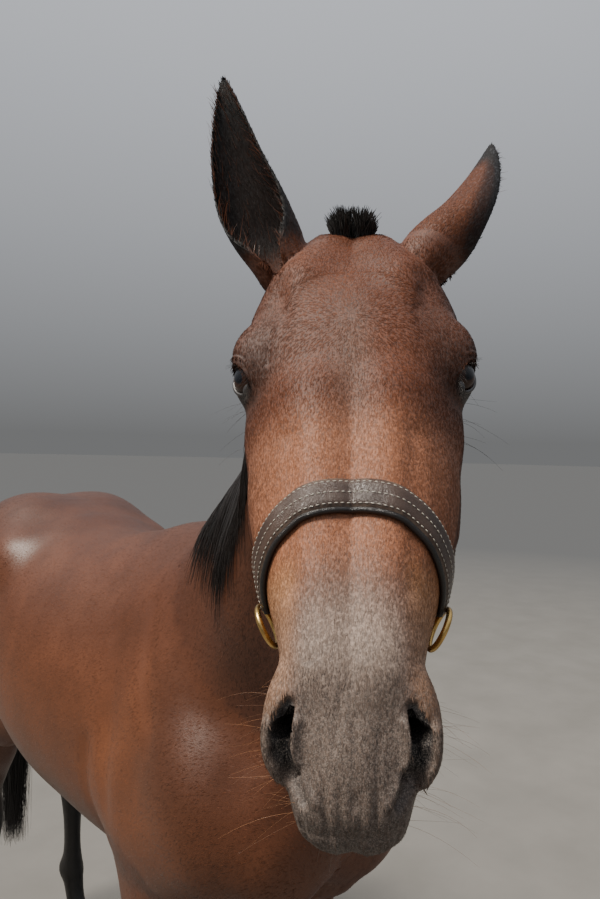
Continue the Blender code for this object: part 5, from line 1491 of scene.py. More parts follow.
class Graph:
    """Short names for building a node tree."""

    def __init__(self, tree):
        self.tree = tree

    def add(self, kind, **values):
        made = self.tree.nodes.new(kind)
        for name, value in values.items():
            if name in made.inputs:
                self.put(value, made.inputs[name])
            else:
                setattr(made, name, value)
        return made

    def put(self, value, socket):
        if isinstance(value, bpy.types.NodeSocket):
            self.tree.links.new(value, socket)
        else:
            socket.default_value = value

    def attribute(self, name, output="Color"):
        return self.add("ShaderNodeAttribute", attribute_name=name).outputs[output]

    def maths(self, operation, a, b=0.0, clamp=False):
        made = self.add("ShaderNodeMath", operation=operation, use_clamp=clamp)
        self.put(a, made.inputs[0])
        self.put(b, made.inputs[1])
        return made.outputs[0]

    def scaled(self, vector, scale):
        made = self.add("ShaderNodeMapping")
        self.put(vector, made.inputs["Vector"])
        made.inputs["Scale"].default_value = scale
        return made.outputs[0]

    def noise(self, vector, scale, detail=3.0, rough=0.55):
        made = self.add("ShaderNodeTexNoise")
        self.put(vector, made.inputs["Vector"])
        made.inputs["Scale"].default_value = scale
        made.inputs["Detail"].default_value = detail
        made.inputs["Roughness"].default_value = rough
        return made.outputs["Fac"]

    def spread(self, value, low, high, new_low=0.0, new_high=1.0):
        made = self.add("ShaderNodeMapRange")
        for number, item in enumerate((value, low, high, new_low, new_high)):
            self.put(item, made.inputs[number])
        return made.outputs[0]

    def blend(self, share, a, b, mode="MIX"):
        made = self.add("ShaderNodeMix", data_type="RGBA", blend_type=mode)
        self.put(share, made.inputs[0])
        self.put(a, made.inputs[6])
        self.put(b, made.inputs[7])
        return made.outputs[2]

    def bump(self, height, strength, distance, normal=None):
        made = self.add("ShaderNodeBump")
        self.put(height, made.inputs["Height"])
        made.inputs["Strength"].default_value = strength
        made.inputs["Distance"].default_value = distance
        if normal is not None:
            self.put(normal, made.inputs["Normal"])
        return made.outputs[0]

    def place(self):
        return self.add("ShaderNodeTexCoord").outputs["Object"]


def shade(shader, rough, specular=0.5, sheen=0.0, coat=0.0, coat_rough=0.1, metal=0.0):
    values = {"Roughness": rough, "Specular IOR Level": specular, "Sheen Weight": sheen, "Coat Weight": coat,
              "Coat Roughness": coat_rough, "Metallic": metal, "Sheen Roughness": 0.4}
    for name, value in values.items():
        shader.inputs[name].default_value = value


def skin_material():
    made, tree, shader = new_material("bay_skin")
    g = Graph(tree)
    place, tint, grain = g.place(), g.attribute("tint"), g.attribute("grain", "Vector")
    bare, face = g.attribute("bare", "Fac"), g.attribute("face", "Fac")
    hair = g.noise(g.scaled(grain, (150, 900, 900)), 1.0, 3.0, 0.60)
    fine = g.noise(place, 420.0, 3.0)
    patch = g.noise(place, 9.0, 4.0)
    grain_reach = g.maths("ADD", g.maths("MULTIPLY", face, 0.85), 0.30)
    grainy = g.maths("MULTIPLY", g.spread(fine, 0.36, 0.64, -0.34, 0.34), grain_reach)
    light = g.maths("ADD", g.spread(hair, 0.3, 0.7, 0.82, 1.16), grainy)
    light = g.maths("MULTIPLY", light, g.spread(patch, 0.3, 0.7, 0.78, 1.18))
    base = g.blend(1.0, tint, light, "MULTIPLY")
    speck = g.spread(g.noise(place, 1000.0, 2.0), 0.50, 0.62)
    base = g.blend(g.maths("MULTIPLY", g.maths("MULTIPLY", speck, bare), 0.45), base, (0.34, 0.29, 0.25, 1))
    spot = g.spread(g.noise(place, 820.0, 2.0), 0.50, 0.60)
    base = g.blend(g.maths("MULTIPLY", g.maths("MULTIPLY", spot, bare), 0.55), base, (0.022, 0.019, 0.018, 1))
    tree.links.new(base, shader.inputs["Base Color"])
    wrinkle = g.noise(place, 160.0, 5.0, 0.6)
    height = g.maths("ADD", g.maths("MULTIPLY", hair, g.attribute("sure", "Fac")), g.maths("MULTIPLY", wrinkle, 0.8))
    tree.links.new(g.bump(height, 0.50, 0.0008), shader.inputs["Normal"])
    duller = g.maths("MULTIPLY", g.maths("MAXIMUM", bare, face), 0.18)
    rough = g.maths("ADD", g.spread(patch, 0.3, 0.7, 0.39, 0.48), duller)
    shade(shader, 0.42, specular=0.42, sheen=0.0)
    tree.links.new(rough, shader.inputs["Roughness"])
    return made


def tuft_material(name, rough, sheen=0.04, specular=0.38):
    made, tree, shader = new_material(name)
    g = Graph(tree)
    fine = g.noise(g.place(), 300.0, 2.0)
    base = g.blend(1.0, g.attribute("tint"), g.spread(fine, 0.3, 0.7, 0.80, 1.20), "MULTIPLY")
    tree.links.new(base, shader.inputs["Base Color"])
    shade(shader, rough, specular=specular, sheen=sheen)
    return made


def eye_material():
    made, tree, shader = new_material("dark_eye")
    g = Graph(tree)
    gaze = g.attribute("gaze", "Vector")
    split = g.add("ShaderNodeSeparateXYZ")
    tree.links.new(gaze, split.inputs[0])
    x, y, z = split.outputs
    reach = g.maths("SQRT", g.maths("ADD", g.maths("MULTIPLY", x, x), g.maths("MULTIPLY", y, y)))
    px, py = g.maths("MULTIPLY", x, 1 / 0.46), g.maths("MULTIPLY", y, 1 / 0.27)
    pupil = g.maths("SQRT", g.maths("ADD", g.maths("MULTIPLY", px, px), g.maths("MULTIPLY", py, py)))
    fibres = g.noise(g.scaled(gaze, (9, 9, 2)), 2.2, 5.0, 0.7)
    iris = g.blend(g.spread(fibres, 0.3, 0.7), (0.012, 0.0045, 0.0022, 1), (0.055, 0.020, 0.009, 1))
    iris = g.blend(g.spread(reach, 0.62, 0.86), iris, (0.010, 0.006, 0.005, 1))
    iris = g.blend(g.spread(pupil, 1.08, 0.92), iris, (0.0035, 0.0045, 0.0075, 1))
    white = g.blend(g.spread(fibres, 0.35, 0.65), (0.030, 0.016, 0.012, 1), (0.070, 0.040, 0.030, 1))
    whole = g.blend(g.spread(reach, 0.84, 0.92), iris, white)
    tree.links.new(whole, shader.inputs["Base Color"])
    shade(shader, 0.30, specular=0.12, coat=0.50, coat_rough=0.01)
    return made


def hoof_material():
    made, tree, shader = new_material("hoof_horn")
    g = Graph(tree)
    place = g.place()
    rings = g.noise(g.scaled(place, (7, 7, 150)), 1.0, 4.0)
    streaks = g.noise(g.scaled(place, (160, 160, 9)), 1.0, 3.0)
    base = g.blend(g.spread(rings, 0.35, 0.65), (0.022, 0.018, 0.016, 1), (0.075, 0.060, 0.048, 1))
    base = g.blend(g.spread(streaks, 0.45, 0.75, 0.0, 0.5), base, (0.120, 0.096, 0.074, 1))
    tree.links.new(base, shader.inputs["Base Color"])
    height = g.maths("ADD", rings, g.maths("MULTIPLY", streaks, 0.4))
    tree.links.new(g.bump(height, 0.5, 0.0016), shader.inputs["Normal"])
    tree.links.new(g.spread(streaks, 0.3, 0.7, 0.38, 0.58), shader.inputs["Roughness"])
    return made


def leather_material(name, base_low, base_high, wear):
    made, tree, shader = new_material(name)
    g = Graph(tree)
    place = g.place()
    grain = g.add("ShaderNodeTexVoronoi", feature="DISTANCE_TO_EDGE")
    tree.links.new(place, grain.inputs["Vector"])
    grain.inputs["Scale"].default_value = 950.0
    cells = g.spread(grain.outputs["Distance"], 0.0, 0.22)
    patch = g.noise(place, 28.0, 5.0)
    base = g.blend(g.spread(patch, 0.32, 0.68), (*base_low, 1), (*base_high, 1))
    base = g.blend(g.spread(cells, 0.0, 1.0, 0.35, 0.0), base, (0.006, 0.004, 0.003, 1))
    edge = g.attribute("edge", "Fac")
    scuff = g.maths("MULTIPLY", edge, g.spread(g.noise(place, 120.0, 4.0), 0.40, 0.62), clamp=True)
    base = g.blend(g.maths("MULTIPLY", scuff, 0.6), base, (*wear, 1))
    tree.links.new(base, shader.inputs["Base Color"])
    height = g.maths("ADD", g.maths("MULTIPLY", cells, 0.6), g.noise(place, 240.0, 4.0))
    tree.links.new(g.bump(height, 0.45, 0.0006), shader.inputs["Normal"])
    tree.links.new(g.spread(patch, 0.3, 0.7, 0.28, 0.46), shader.inputs["Roughness"])
    shader.inputs["Specular IOR Level"].default_value = 0.60
    return made


def thread_material():
    made, tree, shader = new_material("stitch_thread")
    g = Graph(tree)
    twist = g.noise(g.place(), 1500.0, 2.0)
    base = g.blend(g.spread(twist, 0.35, 0.65), (0.30, 0.27, 0.22, 1), (0.62, 0.58, 0.50, 1))
    tree.links.new(base, shader.inputs["Base Color"])
    tree.links.new(g.bump(twist, 0.5, 0.0003), shader.inputs["Normal"])
    shade(shader, 0.75, sheen=0.3)
    return made


def brass_material():
    made, tree, shader = new_material("halter_brass")
    g = Graph(tree)
    place = g.place()
    patch, scratch = g.noise(place, 90.0, 4.0), g.noise(g.scaled(place, (60, 60, 900)), 2.0, 3.0)
    base = g.blend(g.spread(patch, 0.35, 0.70), (0.74, 0.50, 0.18, 1), (0.36, 0.22, 0.075, 1))
    tree.links.new(base, shader.inputs["Base Color"])
    tree.links.new(g.spread(scratch, 0.3, 0.7, 0.16, 0.38), shader.inputs["Roughness"])
    tree.links.new(g.bump(patch, 0.25, 0.0003), shader.inputs["Normal"])
    shader.inputs["Metallic"].default_value = 1.0
    return made


# The pieces
def piece(name, mesh, finish, slot, *replaced):
    mesh.transform(Matrix.Translation(MOVE))
    mesh.name = name
    mesh.materials.clear()
    mesh.materials.append(finish)
    made = new_object(name, mesh)
    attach(made, "root")
    if replaced:
        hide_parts(*replaced)
    return made


def coat_pieces(skin, finish, dull_finish):
    """Short tufts: fine ones on the face, and longer ones where the coat breaks the outline."""
    rng = np.random.default_rng(11)
    at = to_head(skin.points)
    face = on_head(skin.points)
    bare = bare_skin(skin.points)
    s, across, out = at[:, 0], np.abs(at[:, 1]), at[:, 2]
    on_ears = np.zeros(len(skin.points), bool)
    for name in EARS:
        base, axis, _, _ = ear_axes(name)
        up = (skin.points - base) @ axis
        off = skin.points - base - ear_line(name, up)
        on_ears |= (up > 0.012) & (np.linalg.norm(off, axis=1) < 0.06) & (up < EAR_LENGTH + 0.01)
    in_nose = from_nostril(at) < 0.011
    hair = np.clip(1 - bare, 0, 1)
    scale = 1.0
    layers = (
        # name, chance per square metre, length, width, lift
        ("coat_face_front", 230000 * scale * hair * face * (out > -0.09) * ~on_ears, 0.0065, 0.0009, 0.0003),
        ("coat_face_side", 150000 * scale * hair * face * (out <= -0.09) * ~on_ears, 0.0080, 0.0012, 0.0004),
        ("coat_ears", 340000 * scale * on_ears.astype(float), 0.0070, 0.0010, 0.0006),
        ("coat_muzzle", 90000 * scale * face * soft_step(0.46, 0.50, s) * ~in_nose * (bare > 0.02), 0.0035, 0.0008, 0.0003),
    )
    body = ~face & ~on_ears
    for name, chance, length, width, lift in layers:
        roots = skin.roots(chance.astype(float), rng)
        roots["bake"] = bake_places(roots["region"], roots["around"])
        piece(name, tuft_mesh(name, roots, length, width, lift, 0.15, rng), dull_finish, "coat")
    parts = {
        "coat_neck": (skin.lay.region == NECK) & body,
        "coat_front": (skin.lay.region == TORSO) & body & (skin.points[:, 1] < 0.05),
        "coat_rear": (skin.lay.region == TORSO) & body & (skin.points[:, 1] >= 0.05),
        "coat_legs": (skin.lay.region > FACE) & body,
    }
    rates = {"coat_neck": 60000, "coat_front": 30000, "coat_rear": 22000, "coat_legs": 42000}
    for name, where in parts.items():
        roots = skin.roots(where * rates[name] * scale, rng)
        roots["bake"] = bake_places(roots["region"], roots["around"])
        piece(name, tuft_mesh(name, roots, 0.0110, 0.0014, 0.0004, 0.10, rng), finish, "coat")


def ear_hair(shape, finish):
    rng = np.random.default_rng(5)
    paths, radii, tints, bakes = [], [], [], []
    count = 520
    for number, name in enumerate(EARS):
        base, axis, front, side = ear_axes(name)
        outer, inner = ear_surface(name, COAT_DEPTH * 0.4)
        rows, columns = inner.shape[:2]
        for _ in range(count):
            row = int(rng.integers(9, rows - 3))
            rimmed = rng.random() < 0.70
            near_rim = int(rng.integers(0, 6))
            column = (near_rim if rng.random() < 0.5 else columns - 1 - near_rim) if rimmed else int(rng.integers(6, columns - 6))
            start = inner[row, column] * 0.8 + outer[row, column] * 0.2
            to_middle = inner[row, columns // 2] - start
            way = axis * rng.uniform(0.55, 1.1) + front * rng.uniform(0.05, 0.5) + unit(to_middle + front * 0.03) * rng.uniform(0.1, 0.6)
            length = rng.uniform(0.012, 0.030) * (1 - 0.5 * row / rows)
            bend = rng.normal(0, 0.15, 3)
            t = np.linspace(0, 1, 6)[:, None]
            paths.append(start + unit(way) * t * length + bend * t**2 * length)
            radii.append(np.interp(t[:, 0], (0, 1), (0.00042, 0.00008)))
            tone = BAY * rng.uniform(0.7, 2.4) if rng.random() < 0.6 else BLACK * rng.uniform(1.5, 4)
            tints.append(tone)
            bakes.append(bake_place("ears", row / rows, (column / columns + number) / 2))
    mesh = strand_mesh("ear_hair", np.array(paths), np.array(radii), np.array(tints), np.array(bakes))
    piece("ear_hair", mesh, finish, "long_hair")


CREST = [(0.0, -0.44, 1.600), (-0.035, -0.610, 1.675), (-0.078, -0.735, 1.775), (-0.136, -0.835, 1.865),
         (-0.196, -0.940, 1.935)]


def mane(plain, finish):
    rng = np.random.default_rng(7)
    count = 3300
    crest = smooth_rows(CREST, 12)
    share = rng.random(count) ** 0.85
    where = share * (len(crest) - 1)
    low = np.minimum(where.astype(int), len(crest) - 2)
    part = (where - low)[:, None]
    roots = crest[low] * (1 - part) + crest[low + 1] * part
    run = unit(crest[low + 1] - crest[low])
    aside = unit(np.cross(np.array((0, 0, 1.0)), run)) * -1
    roots = roots + aside * rng.uniform(-0.012, 0.010, count)[:, None]
    roots = plain.onto(roots + (0, 0, 0.01), -0.002, 4)
    clump = np.sin(share * 61) * 0.5 + np.sin(share * 23 + 1) * 0.5
    lengths = np.interp(share, (0, .15, .4, 1), (0.070, 0.140, 0.310, 0.300)) * (1 + 0.14 * clump)
    lengths *= rng.uniform(0.70, 1.10, count)
    heights = rng.uniform(0.0015, 0.013, count)
    lengthways = run * (-0.08 + 0.12 * clump)[:, None] + rng.normal(0, 0.04, (count, 3))
    lean = np.array((-0.38, 0.0, 0.06))
    paths = falling_paths(plain, roots, lengthways, lengths, 9, heights, lean, rng, 0.045)
    radii = np.interp(np.linspace(0, 1, 10), (0, .5, 1), (0.0010, 0.0010, 0.00015))[None]
    radii = radii * rng.uniform(0.6, 1.5, (count, 1)) * 1.0
    tints = BLACK * rng.uniform(0.8, 2.2, (count, 1)) + np.array((0.006, 0.002, 0.0)) * rng.random((count, 1))
    bakes = bake_place("mane", share, rng.random(count))
    piece("mane", strand_mesh("mane", paths, radii, tints, bakes), finish, "long_hair")


def forelock(plain, finish):
    """A short bristly tuft that stands up between the ears and nods forward at its ends."""
    rng = np.random.default_rng(3)
    count = 1300
    s, y = rng.uniform(-0.026, 0.012, count), rng.uniform(-0.0245, 0.0245, count)
    roots = plain.onto(np.array([in_head((a, b, 0.0)) for a, b in zip(s, y)]), -0.002, 4)
    left, out = along_head((0, 1, 0)), along_head((0, 0, 1))
    dome = 1.15 - 0.80 * (y / 0.0245) ** 2
    way = np.array((0, 0, 0.9)) + out * 0.30 + left * (y * 16)[:, None] + rng.normal(0, 0.20, (count, 3))
    t = np.linspace(0, 1, 8)
    length = (rng.uniform(0.013, 0.030, count) * dome)[:, None, None]
    curl = out * 0.40 - np.array((0, 0, 0.20)) + left * rng.normal(0, 0.22, count)[:, None]
    paths = roots[:, None] + unit(way)[:, None] * (t[None, :, None] * length)
    paths = paths + curl[:, None] * (t[None, :, None] ** 2 * length * 0.55)
    radii = np.interp(t, (0, .6, 1), (0.00080, 0.00075, 0.00015))[None] * rng.uniform(0.7, 1.4, (count, 1))
    radii = radii * 1.0
    tints = BLACK * rng.uniform(0.8, 2.2, (count, 1))
    bakes = bake_place("forelock", (s + 0.026) / 0.038, np.clip(y / 0.05 + 0.5, 0, 1))
    piece("forelock", strand_mesh("forelock", paths, radii, tints, bakes), finish, "long_hair")


DOCK = [(0, 0.700, 1.475), (0, 0.780, 1.445), (0, 0.850, 1.370), (0, 0.885, 1.270), (0, 0.900, 1.150),
        (0, 0.905, 1.060)]
TAIL_TIP = 0.30


def tail(finish):
    rng = np.random.default_rng(9)
    count = 2600
    dock = smooth_rows(DOCK, 8)
    where = rng.uniform(0.25, 1.0, count) * (len(dock) - 1)
    low = np.minimum(where.astype(int), len(dock) - 2)
    centre = dock[low] + (dock[low + 1] - dock[low]) * (where - low)[:, None]
    angle = rng.uniform(0, 2 * math.pi, count)
    wide = np.interp(where / (len(dock) - 1), (0, 1), (0.036, 0.018))
    around = np.stack([np.cos(angle), np.sin(angle) * 0.8, np.zeros(count)], axis=1)
    roots = centre + around * wide[:, None] * 0.8
    tip_z = rng.uniform(TAIL_TIP, TAIL_TIP + 0.34, count) ** 1.0
    tip = np.stack([rng.normal(0, 0.020, count), 0.905 + rng.normal(0, 0.017, count), tip_z], axis=1)
    t = np.linspace(0, 1, 16)[None, :, None]
    swell = around[:, None] * (np.interp(t, (0, .35, .75, 1), (0.0, 0.026, 0.020, 0.0)) * rng.uniform(0.2, 1.0, (count, 1, 1)))
    fall = t**0.9
    paths = roots[:, None] * (1 - fall) + tip[:, None] * fall + swell
    paths[:, :, 1] += (np.sin(t[..., 0] * math.pi) * 0.030 * np.interp(roots[:, 2], (1.0, 1.45), (0.2, 1.3))[:, None])
    wave = rng.normal(0, 0.004, (count, 1, 2)) * np.sin(t * rng.uniform(5, 9, (count, 1, 1)) + rng.uniform(0, 6, (count, 1, 1)))
    paths[:, :, :2] += wave * t
    paths[:, :, 1] = np.clip(paths[:, :, 1], None, 0.951)
    radii = np.interp(t[0, :, 0], (0, .5, 1), (0.0011, 0.0010, 0.0002))[None] * rng.uniform(0.7, 1.4, (count, 1))
    tints = BLACK * rng.uniform(0.8, 2.2, (count, 1))
    bakes = bake_place("tail", where / (len(dock) - 1), angle / (2 * math.pi))
    hair = strand_mesh("tail_hair", paths, radii, tints, bakes)
    piece("tail_hair", hair, finish, "long_hair", "tail")
    core = tube(dock, np.interp(np.linspace(0, 1, len(dock)), (0, 1), (0.037, 0.017)), 14, wide=(1, 0, 0))
    put_colour(core, "tint", np.tile(BLACK * 1.5, (len(core.vertices), 1)))
    put_bake_map(core, np.tile(bake_place("tail", 0.5, 0.5), (len(core.vertices), 1)))
    piece("dock", core, finish, "long_hair")


def fine_hairs(plain, finish):
    """Whiskers of the muzzle, chin and eyes, and the lashes."""
    rng = np.random.default_rng(21)
    roots, ways, lengths, sizes, tones = [], [], [], [], []
    for sign in (1, -1):
        for _ in range(46):
            s, lift = rng.uniform(0.500, 0.600), rng.uniform(-0.115, -0.040)
            roots.append((s, sign * rng.uniform(0.03, 0.07), lift))
            ways.append((rng.uniform(-0.25, 0.45), sign * rng.uniform(0.7, 1.1), rng.uniform(-0.35, 0.25)))
            lengths.append(rng.uniform(0.010, 0.060) ** 1.0)
            sizes.append(0.00022)
            tones.append(TAN * rng.uniform(0.5, 1.5))
        for _ in range(9):
            roots.append((rng.uniform(0.17, 0.25), sign * 0.110, rng.uniform(-0.095, -0.075)))
            ways.append((rng.uniform(-0.2, 0.4), sign * 1.0, rng.uniform(-0.5, 0.1)))
            lengths.append(rng.uniform(0.025, 0.055))
            sizes.append(0.00022)
            tones.append(MUZZLE_DARK)
    for _ in range(70):
        roots.append((rng.uniform(0.535, 0.600), rng.normal(0, 0.025), rng.uniform(-0.150, -0.085)))
        ways.append((rng.uniform(0.3, 0.9), rng.normal(0, 0.35), rng.uniform(-0.9, -0.2)))
        lengths.append(rng.uniform(0.008, 0.032))
        sizes.append(0.00022)
        tones.append(MUZZLE_GREY * rng.uniform(0.3, 1.6))
    roots = plain.onto(np.array([in_head(p) for p in roots]), -0.003, 5)
    ways = np.array([along_head(v) for v in ways])
    lashes = 30
    lid, lid_way = [], []
    upper = -1 if eye_axes()[1].z < 0 else 1
    for sign in (1, -1):
        axes = eye_frame(sign)
        for angle in np.radians(np.linspace(22, 158, lashes)) * upper:
            p = lid_point(angle, 1.0, 0.0024)
            lid.append(in_head((p[0], sign * p[1], p[2])))
            lid_way.append(axes[:, 2] * 0.9 + axes[:, 1] * upper * rng.uniform(0.1, 0.35) + axes[:, 0] * (math.cos(angle) * 0.5 + rng.normal(0, 0.1)) + np.array((0, 0, -0.45)))
            lengths.append(rng.uniform(0.012, 0.019))
            sizes.append(0.00035)
            tones.append(BLACK * 1.5)
    roots, ways = np.vstack([roots, np.array(lid)]), unit(np.vstack([ways, np.array(lid_way)]))
    t = np.linspace(0, 1, 7)[None, :, None]
    lengths = np.array(lengths)[:, None, None]
    droop = np.array((0, 0, -0.25)) + rng.normal(0, 0.12, roots.shape)
    paths = roots[:, None] + ways[:, None] * t * lengths + droop[:, None] * t**2 * lengths
    radii = np.array(sizes)[:, None] * np.interp(t[0, :, 0], (0, 1), (1.0, 0.3))[None]
    bakes = bake_place("fine", rng.random(len(roots)), rng.random(len(roots)))
    mesh = strand_mesh("whiskers_and_lashes", paths, radii, np.array(tones), bakes)
    piece("whiskers_and_lashes", mesh, finish, "long_hair")


CORNEA_RISE = 0.0026


def joined(meshes):
    """Several meshes as one, side by side."""
    points, faces, first = [], [], 0
    for mesh in meshes:
        points.append(points_of(mesh))
        faces += [tuple(first + i for i in f.vertices) for f in mesh.polygons]
        first += len(points[-1])
    return solid(np.vstack(points), faces)


def eyes(finish, rim_finish):
    for name, sign in SIDES:
        axes = eye_frame(sign)
        nearer = along_head((-0.0024, 0, 0.0012))
        mesh = bead(eye_ball(sign) + nearer, (EYE_RADIUS + 0.0010,) * 3, axes, 5)
        local = (points_of(mesh) - eye_ball(sign) - nearer) @ axes / EYE_RADIUS
        put_vector(mesh, "gaze", local)
        across = local[:, :2] / (0.86, 0.78)
        cornea = CORNEA_RISE * np.exp(-(across**2).sum(axis=1) ** 2) * (local[:, 2] > 0)
        set_points(mesh, points_of(mesh) + np.outer(cornea, axes[:, 2]))
        mesh.shade_smooth()
        piece(f"eyeball_{name}", mesh, finish, "eye", f"eye_{name}")
        turns = np.radians(np.arange(0, 360, 8))
        rim = []
        for angle in turns:
            p = lid_point(angle, 1.0, 0.0022)
            rim.append(in_head((p[0], sign * p[1], p[2])))
        band = tube(rim, 0.0019, 10, closed=True, wide=axes[:, 2])
        corner = lid_point(0.0, 0.80, 0.0008)
        fold = bead(in_head((corner[0], sign * corner[1], corner[2])), (0.0052, 0.0066, 0.0034), axes, 3)
        band = joined([band, fold])
        band.shade_smooth()
        piece(f"lid_rim_{name}", band, rim_finish, "coat")


def rim_material():
    made, tree, shader = new_material("lid_rim")
    g = Graph(tree)
    fine = g.noise(g.place(), 600.0, 3.0)
    base = g.blend(g.spread(fine, 0.3, 0.7), (0.012, 0.010, 0.010, 1), (0.048, 0.042, 0.040, 1))
    tree.links.new(base, shader.inputs["Base Color"])
    tree.links.new(g.bump(fine, 0.4, 0.0004), shader.inputs["Normal"])
    shade(shader, 0.40, coat=0.25, coat_rough=0.20)
    return made


HOOF_TOP = 0.0770


def hooves(finish):
    levels = [(0.0, .0585, .0645, -.030), (.0025, .0598, .0657, -.0297), (.012, .0589, .0648, -.026), (.030, .0558, .0606, -.0185),
              (.050, .0521, .0555, -.0105), (.068, .0486, .0506, -.0033), (.0745, .0478, .0488, -.0009), (HOOF_TOP, .0455, .0460, 0.0)]
    spots = []
    for name, side in SIDES:
        spots.append((f"hoof_fore_{name}", side * STANCE_FORE, FORE_Y - FORE_AHEAD[name] - 0.060))
        spots.append((f"hoof_hind_{name}", side * STANCE_HIND, HIND_Y + HIND_BACK[name] - 0.064))
    around = 72
    for name, x, y in spots:
        points = []
        for number, (z, wide, deep, shift) in enumerate(smooth_rows(levels, 3)):
            for angle in np.arange(around) * 2 * math.pi / around:
                heel = 1 - 0.10 * max(0.0, math.sin(angle)) ** 6
                cleft = 1 - 0.05 * math.exp(-((angle - math.pi / 2) / 0.16) ** 2)
                ring = 1 + 0.004 * math.sin(z * 620) * (z < 0.066)
                points.append((x + wide * ring * math.cos(angle), y + shift + deep * ring * heel * cleft * math.sin(angle), max(z, 0.0)))
        rings = len(points) // around
        faces = []
        for i in range(rings - 1):
            for j in range(around):
                k = (j + 1) % around
                faces.append((i * around + j, i * around + k, (i + 1) * around + k, (i + 1) * around + j))
        faces += [tuple(reversed(range(around))), tuple(range((rings - 1) * around, rings * around))]
        mesh = outward(solid(points, faces))
        mesh.shade_smooth()
        mesh.set_sharp_from_angle(angle=math.radians(50))
        piece(f"{name}_horn", mesh, finish, "hoof", name)


# The halter
STRAP_LIFT = 0.0012
NOSE_WIDE, STRAP_WIDE, STRAP_THICK = 0.028, 0.022, 0.0045
RING_AT = {"left": (0.447, 0.0800, -0.084), "right": (0.447, -0.0800, -0.084)}


def halter_runs():
    runs = {
        "halter_noseband": (NOSE_WIDE, [
            (0.428, -0.083, -0.078), (0.405, -0.080, -0.045), (0.378, -0.055, -0.006), (0.363, 0.0, 0.006),
            (0.378, 0.055, -0.006), (0.405, 0.080, -0.045), (0.428, 0.083, -0.078)]),
        "halter_chin_strap": (STRAP_WIDE, [
            (0.465, -0.070, -0.100), (0.462, -0.052, -0.140), (0.458, -0.020, -0.160), (0.455, 0.0, -0.165),
            (0.458, 0.020, -0.160), (0.462, 0.052, -0.140), (0.465, 0.070, -0.100)]),
        "halter_crown": (STRAP_WIDE, [
            (0.086, -0.092, -0.105), (0.030, -0.085, -0.085), (-0.028, -0.060, -0.045), (-0.045, 0.0, -0.010),
            (-0.028, 0.060, -0.045), (0.030, 0.085, -0.085), (0.086, 0.092, -0.105)]),
    }
    for name, side in SIDES:
        runs[f"halter_cheek_{name}"] = (STRAP_WIDE, [
            (0.432, side * 0.076, -0.095), (0.360, side * 0.090, -0.110), (0.270, side * 0.100, -0.130),
            (0.160, side * 0.105, -0.140), (0.095, side * 0.095, -0.110)])
    return runs


def strap_frame(shape, guides, wide, columns):
    """Rows of points across a strap on the shape, and the outward direction there."""
    path = shape.onto(smooth_rows([in_head(p) for p in guides], 14), STRAP_LIFT, 6)
    path = relaxed_line(path, 3)
    out = shape.slope(path, 0.006)
    run = unit(np.gradient(path, axis=0))
    across = unit(np.cross(run, out))
    grid = path[:, None] + across[:, None] * (np.linspace(-0.5, 0.5, columns) * wide)[None, :, None]
    flat = shape.onto(grid.reshape(-1, 3), STRAP_LIFT, 4)
    return flat.reshape(grid.shape), out, run, across


def relaxed_line(path, rounds):
    for _ in range(rounds):
        path[1:-1] = (path[:-2] + 2 * path[1:-1] + path[2:]) / 4
    return path


def leather_band(shape, guides, wide, thick):
    columns = 13
    low, out, run, across = strap_frame(shape, guides, wide, columns)
    edge = np.abs(np.linspace(-1, 1, columns))
    rise = thick * (0.30 + 0.70 * (1 - edge**6))
    groove = 0.0007 * np.exp(-((edge - 0.80) / 0.07) ** 2)
    top = low + out[:, None] * (rise - groove)[None, :, None]
    inset = np.where(edge > 0.99, 0.0010, 0.0)
    side = np.sign(np.linspace(-1, 1, columns)) * inset
    low = low - across[:, None] * side[None, :, None]
    mesh = slab(top, low)
    worn = np.concatenate([np.tile(soft_step(0.72, 1.0, edge), len(top)), np.zeros(low.shape[0] * columns)])
    put_number(mesh, "edge", worn)
    mesh.shade_smooth()
    mesh.set_sharp_from_angle(angle=math.radians(55))
    return mesh, top, out, run, across


def stitches(top, out, run, across, rows, wide):
    """Short threads in rows along a strap, one joined mesh."""
    columns = top.shape[1]
    points, faces = [], []
    bm = bmesh.new()
    bmesh.ops.create_icosphere(bm, subdivisions=1, radius=1)
    shell = np.array([v.co for v in bm.verts])
    shell_faces = [tuple(v.index for v in f.verts) for f in bm.faces]
    bm.free()
    for row in rows:
        column = (row + 0.5) * (columns - 1)
        c = int(column)
        line = top[:, c] * (1 - column + c) + top[:, min(c + 1, columns - 1)] * (column - c)
        reach = np.concatenate([[0], np.cumsum(np.linalg.norm(np.diff(line, axis=0), axis=1))])
        for distance in np.arange(0.004, reach[-1] - 0.004, 0.0052):
            at = np.array([np.interp(distance, reach, line[:, k]) for k in range(3)])
            i = min(int(np.searchsorted(reach, distance)), len(line) - 1)
            axes = np.stack([run[i], across[i], out[i]], axis=1)
            size = np.array((0.0019, 0.00055, 0.00045))
            faces += [tuple(len(points) + k for k in f) for f in shell_faces]
            points += list((shell * size) @ axes.T + at + out[i] * 0.0002)
    return solid(points, faces)


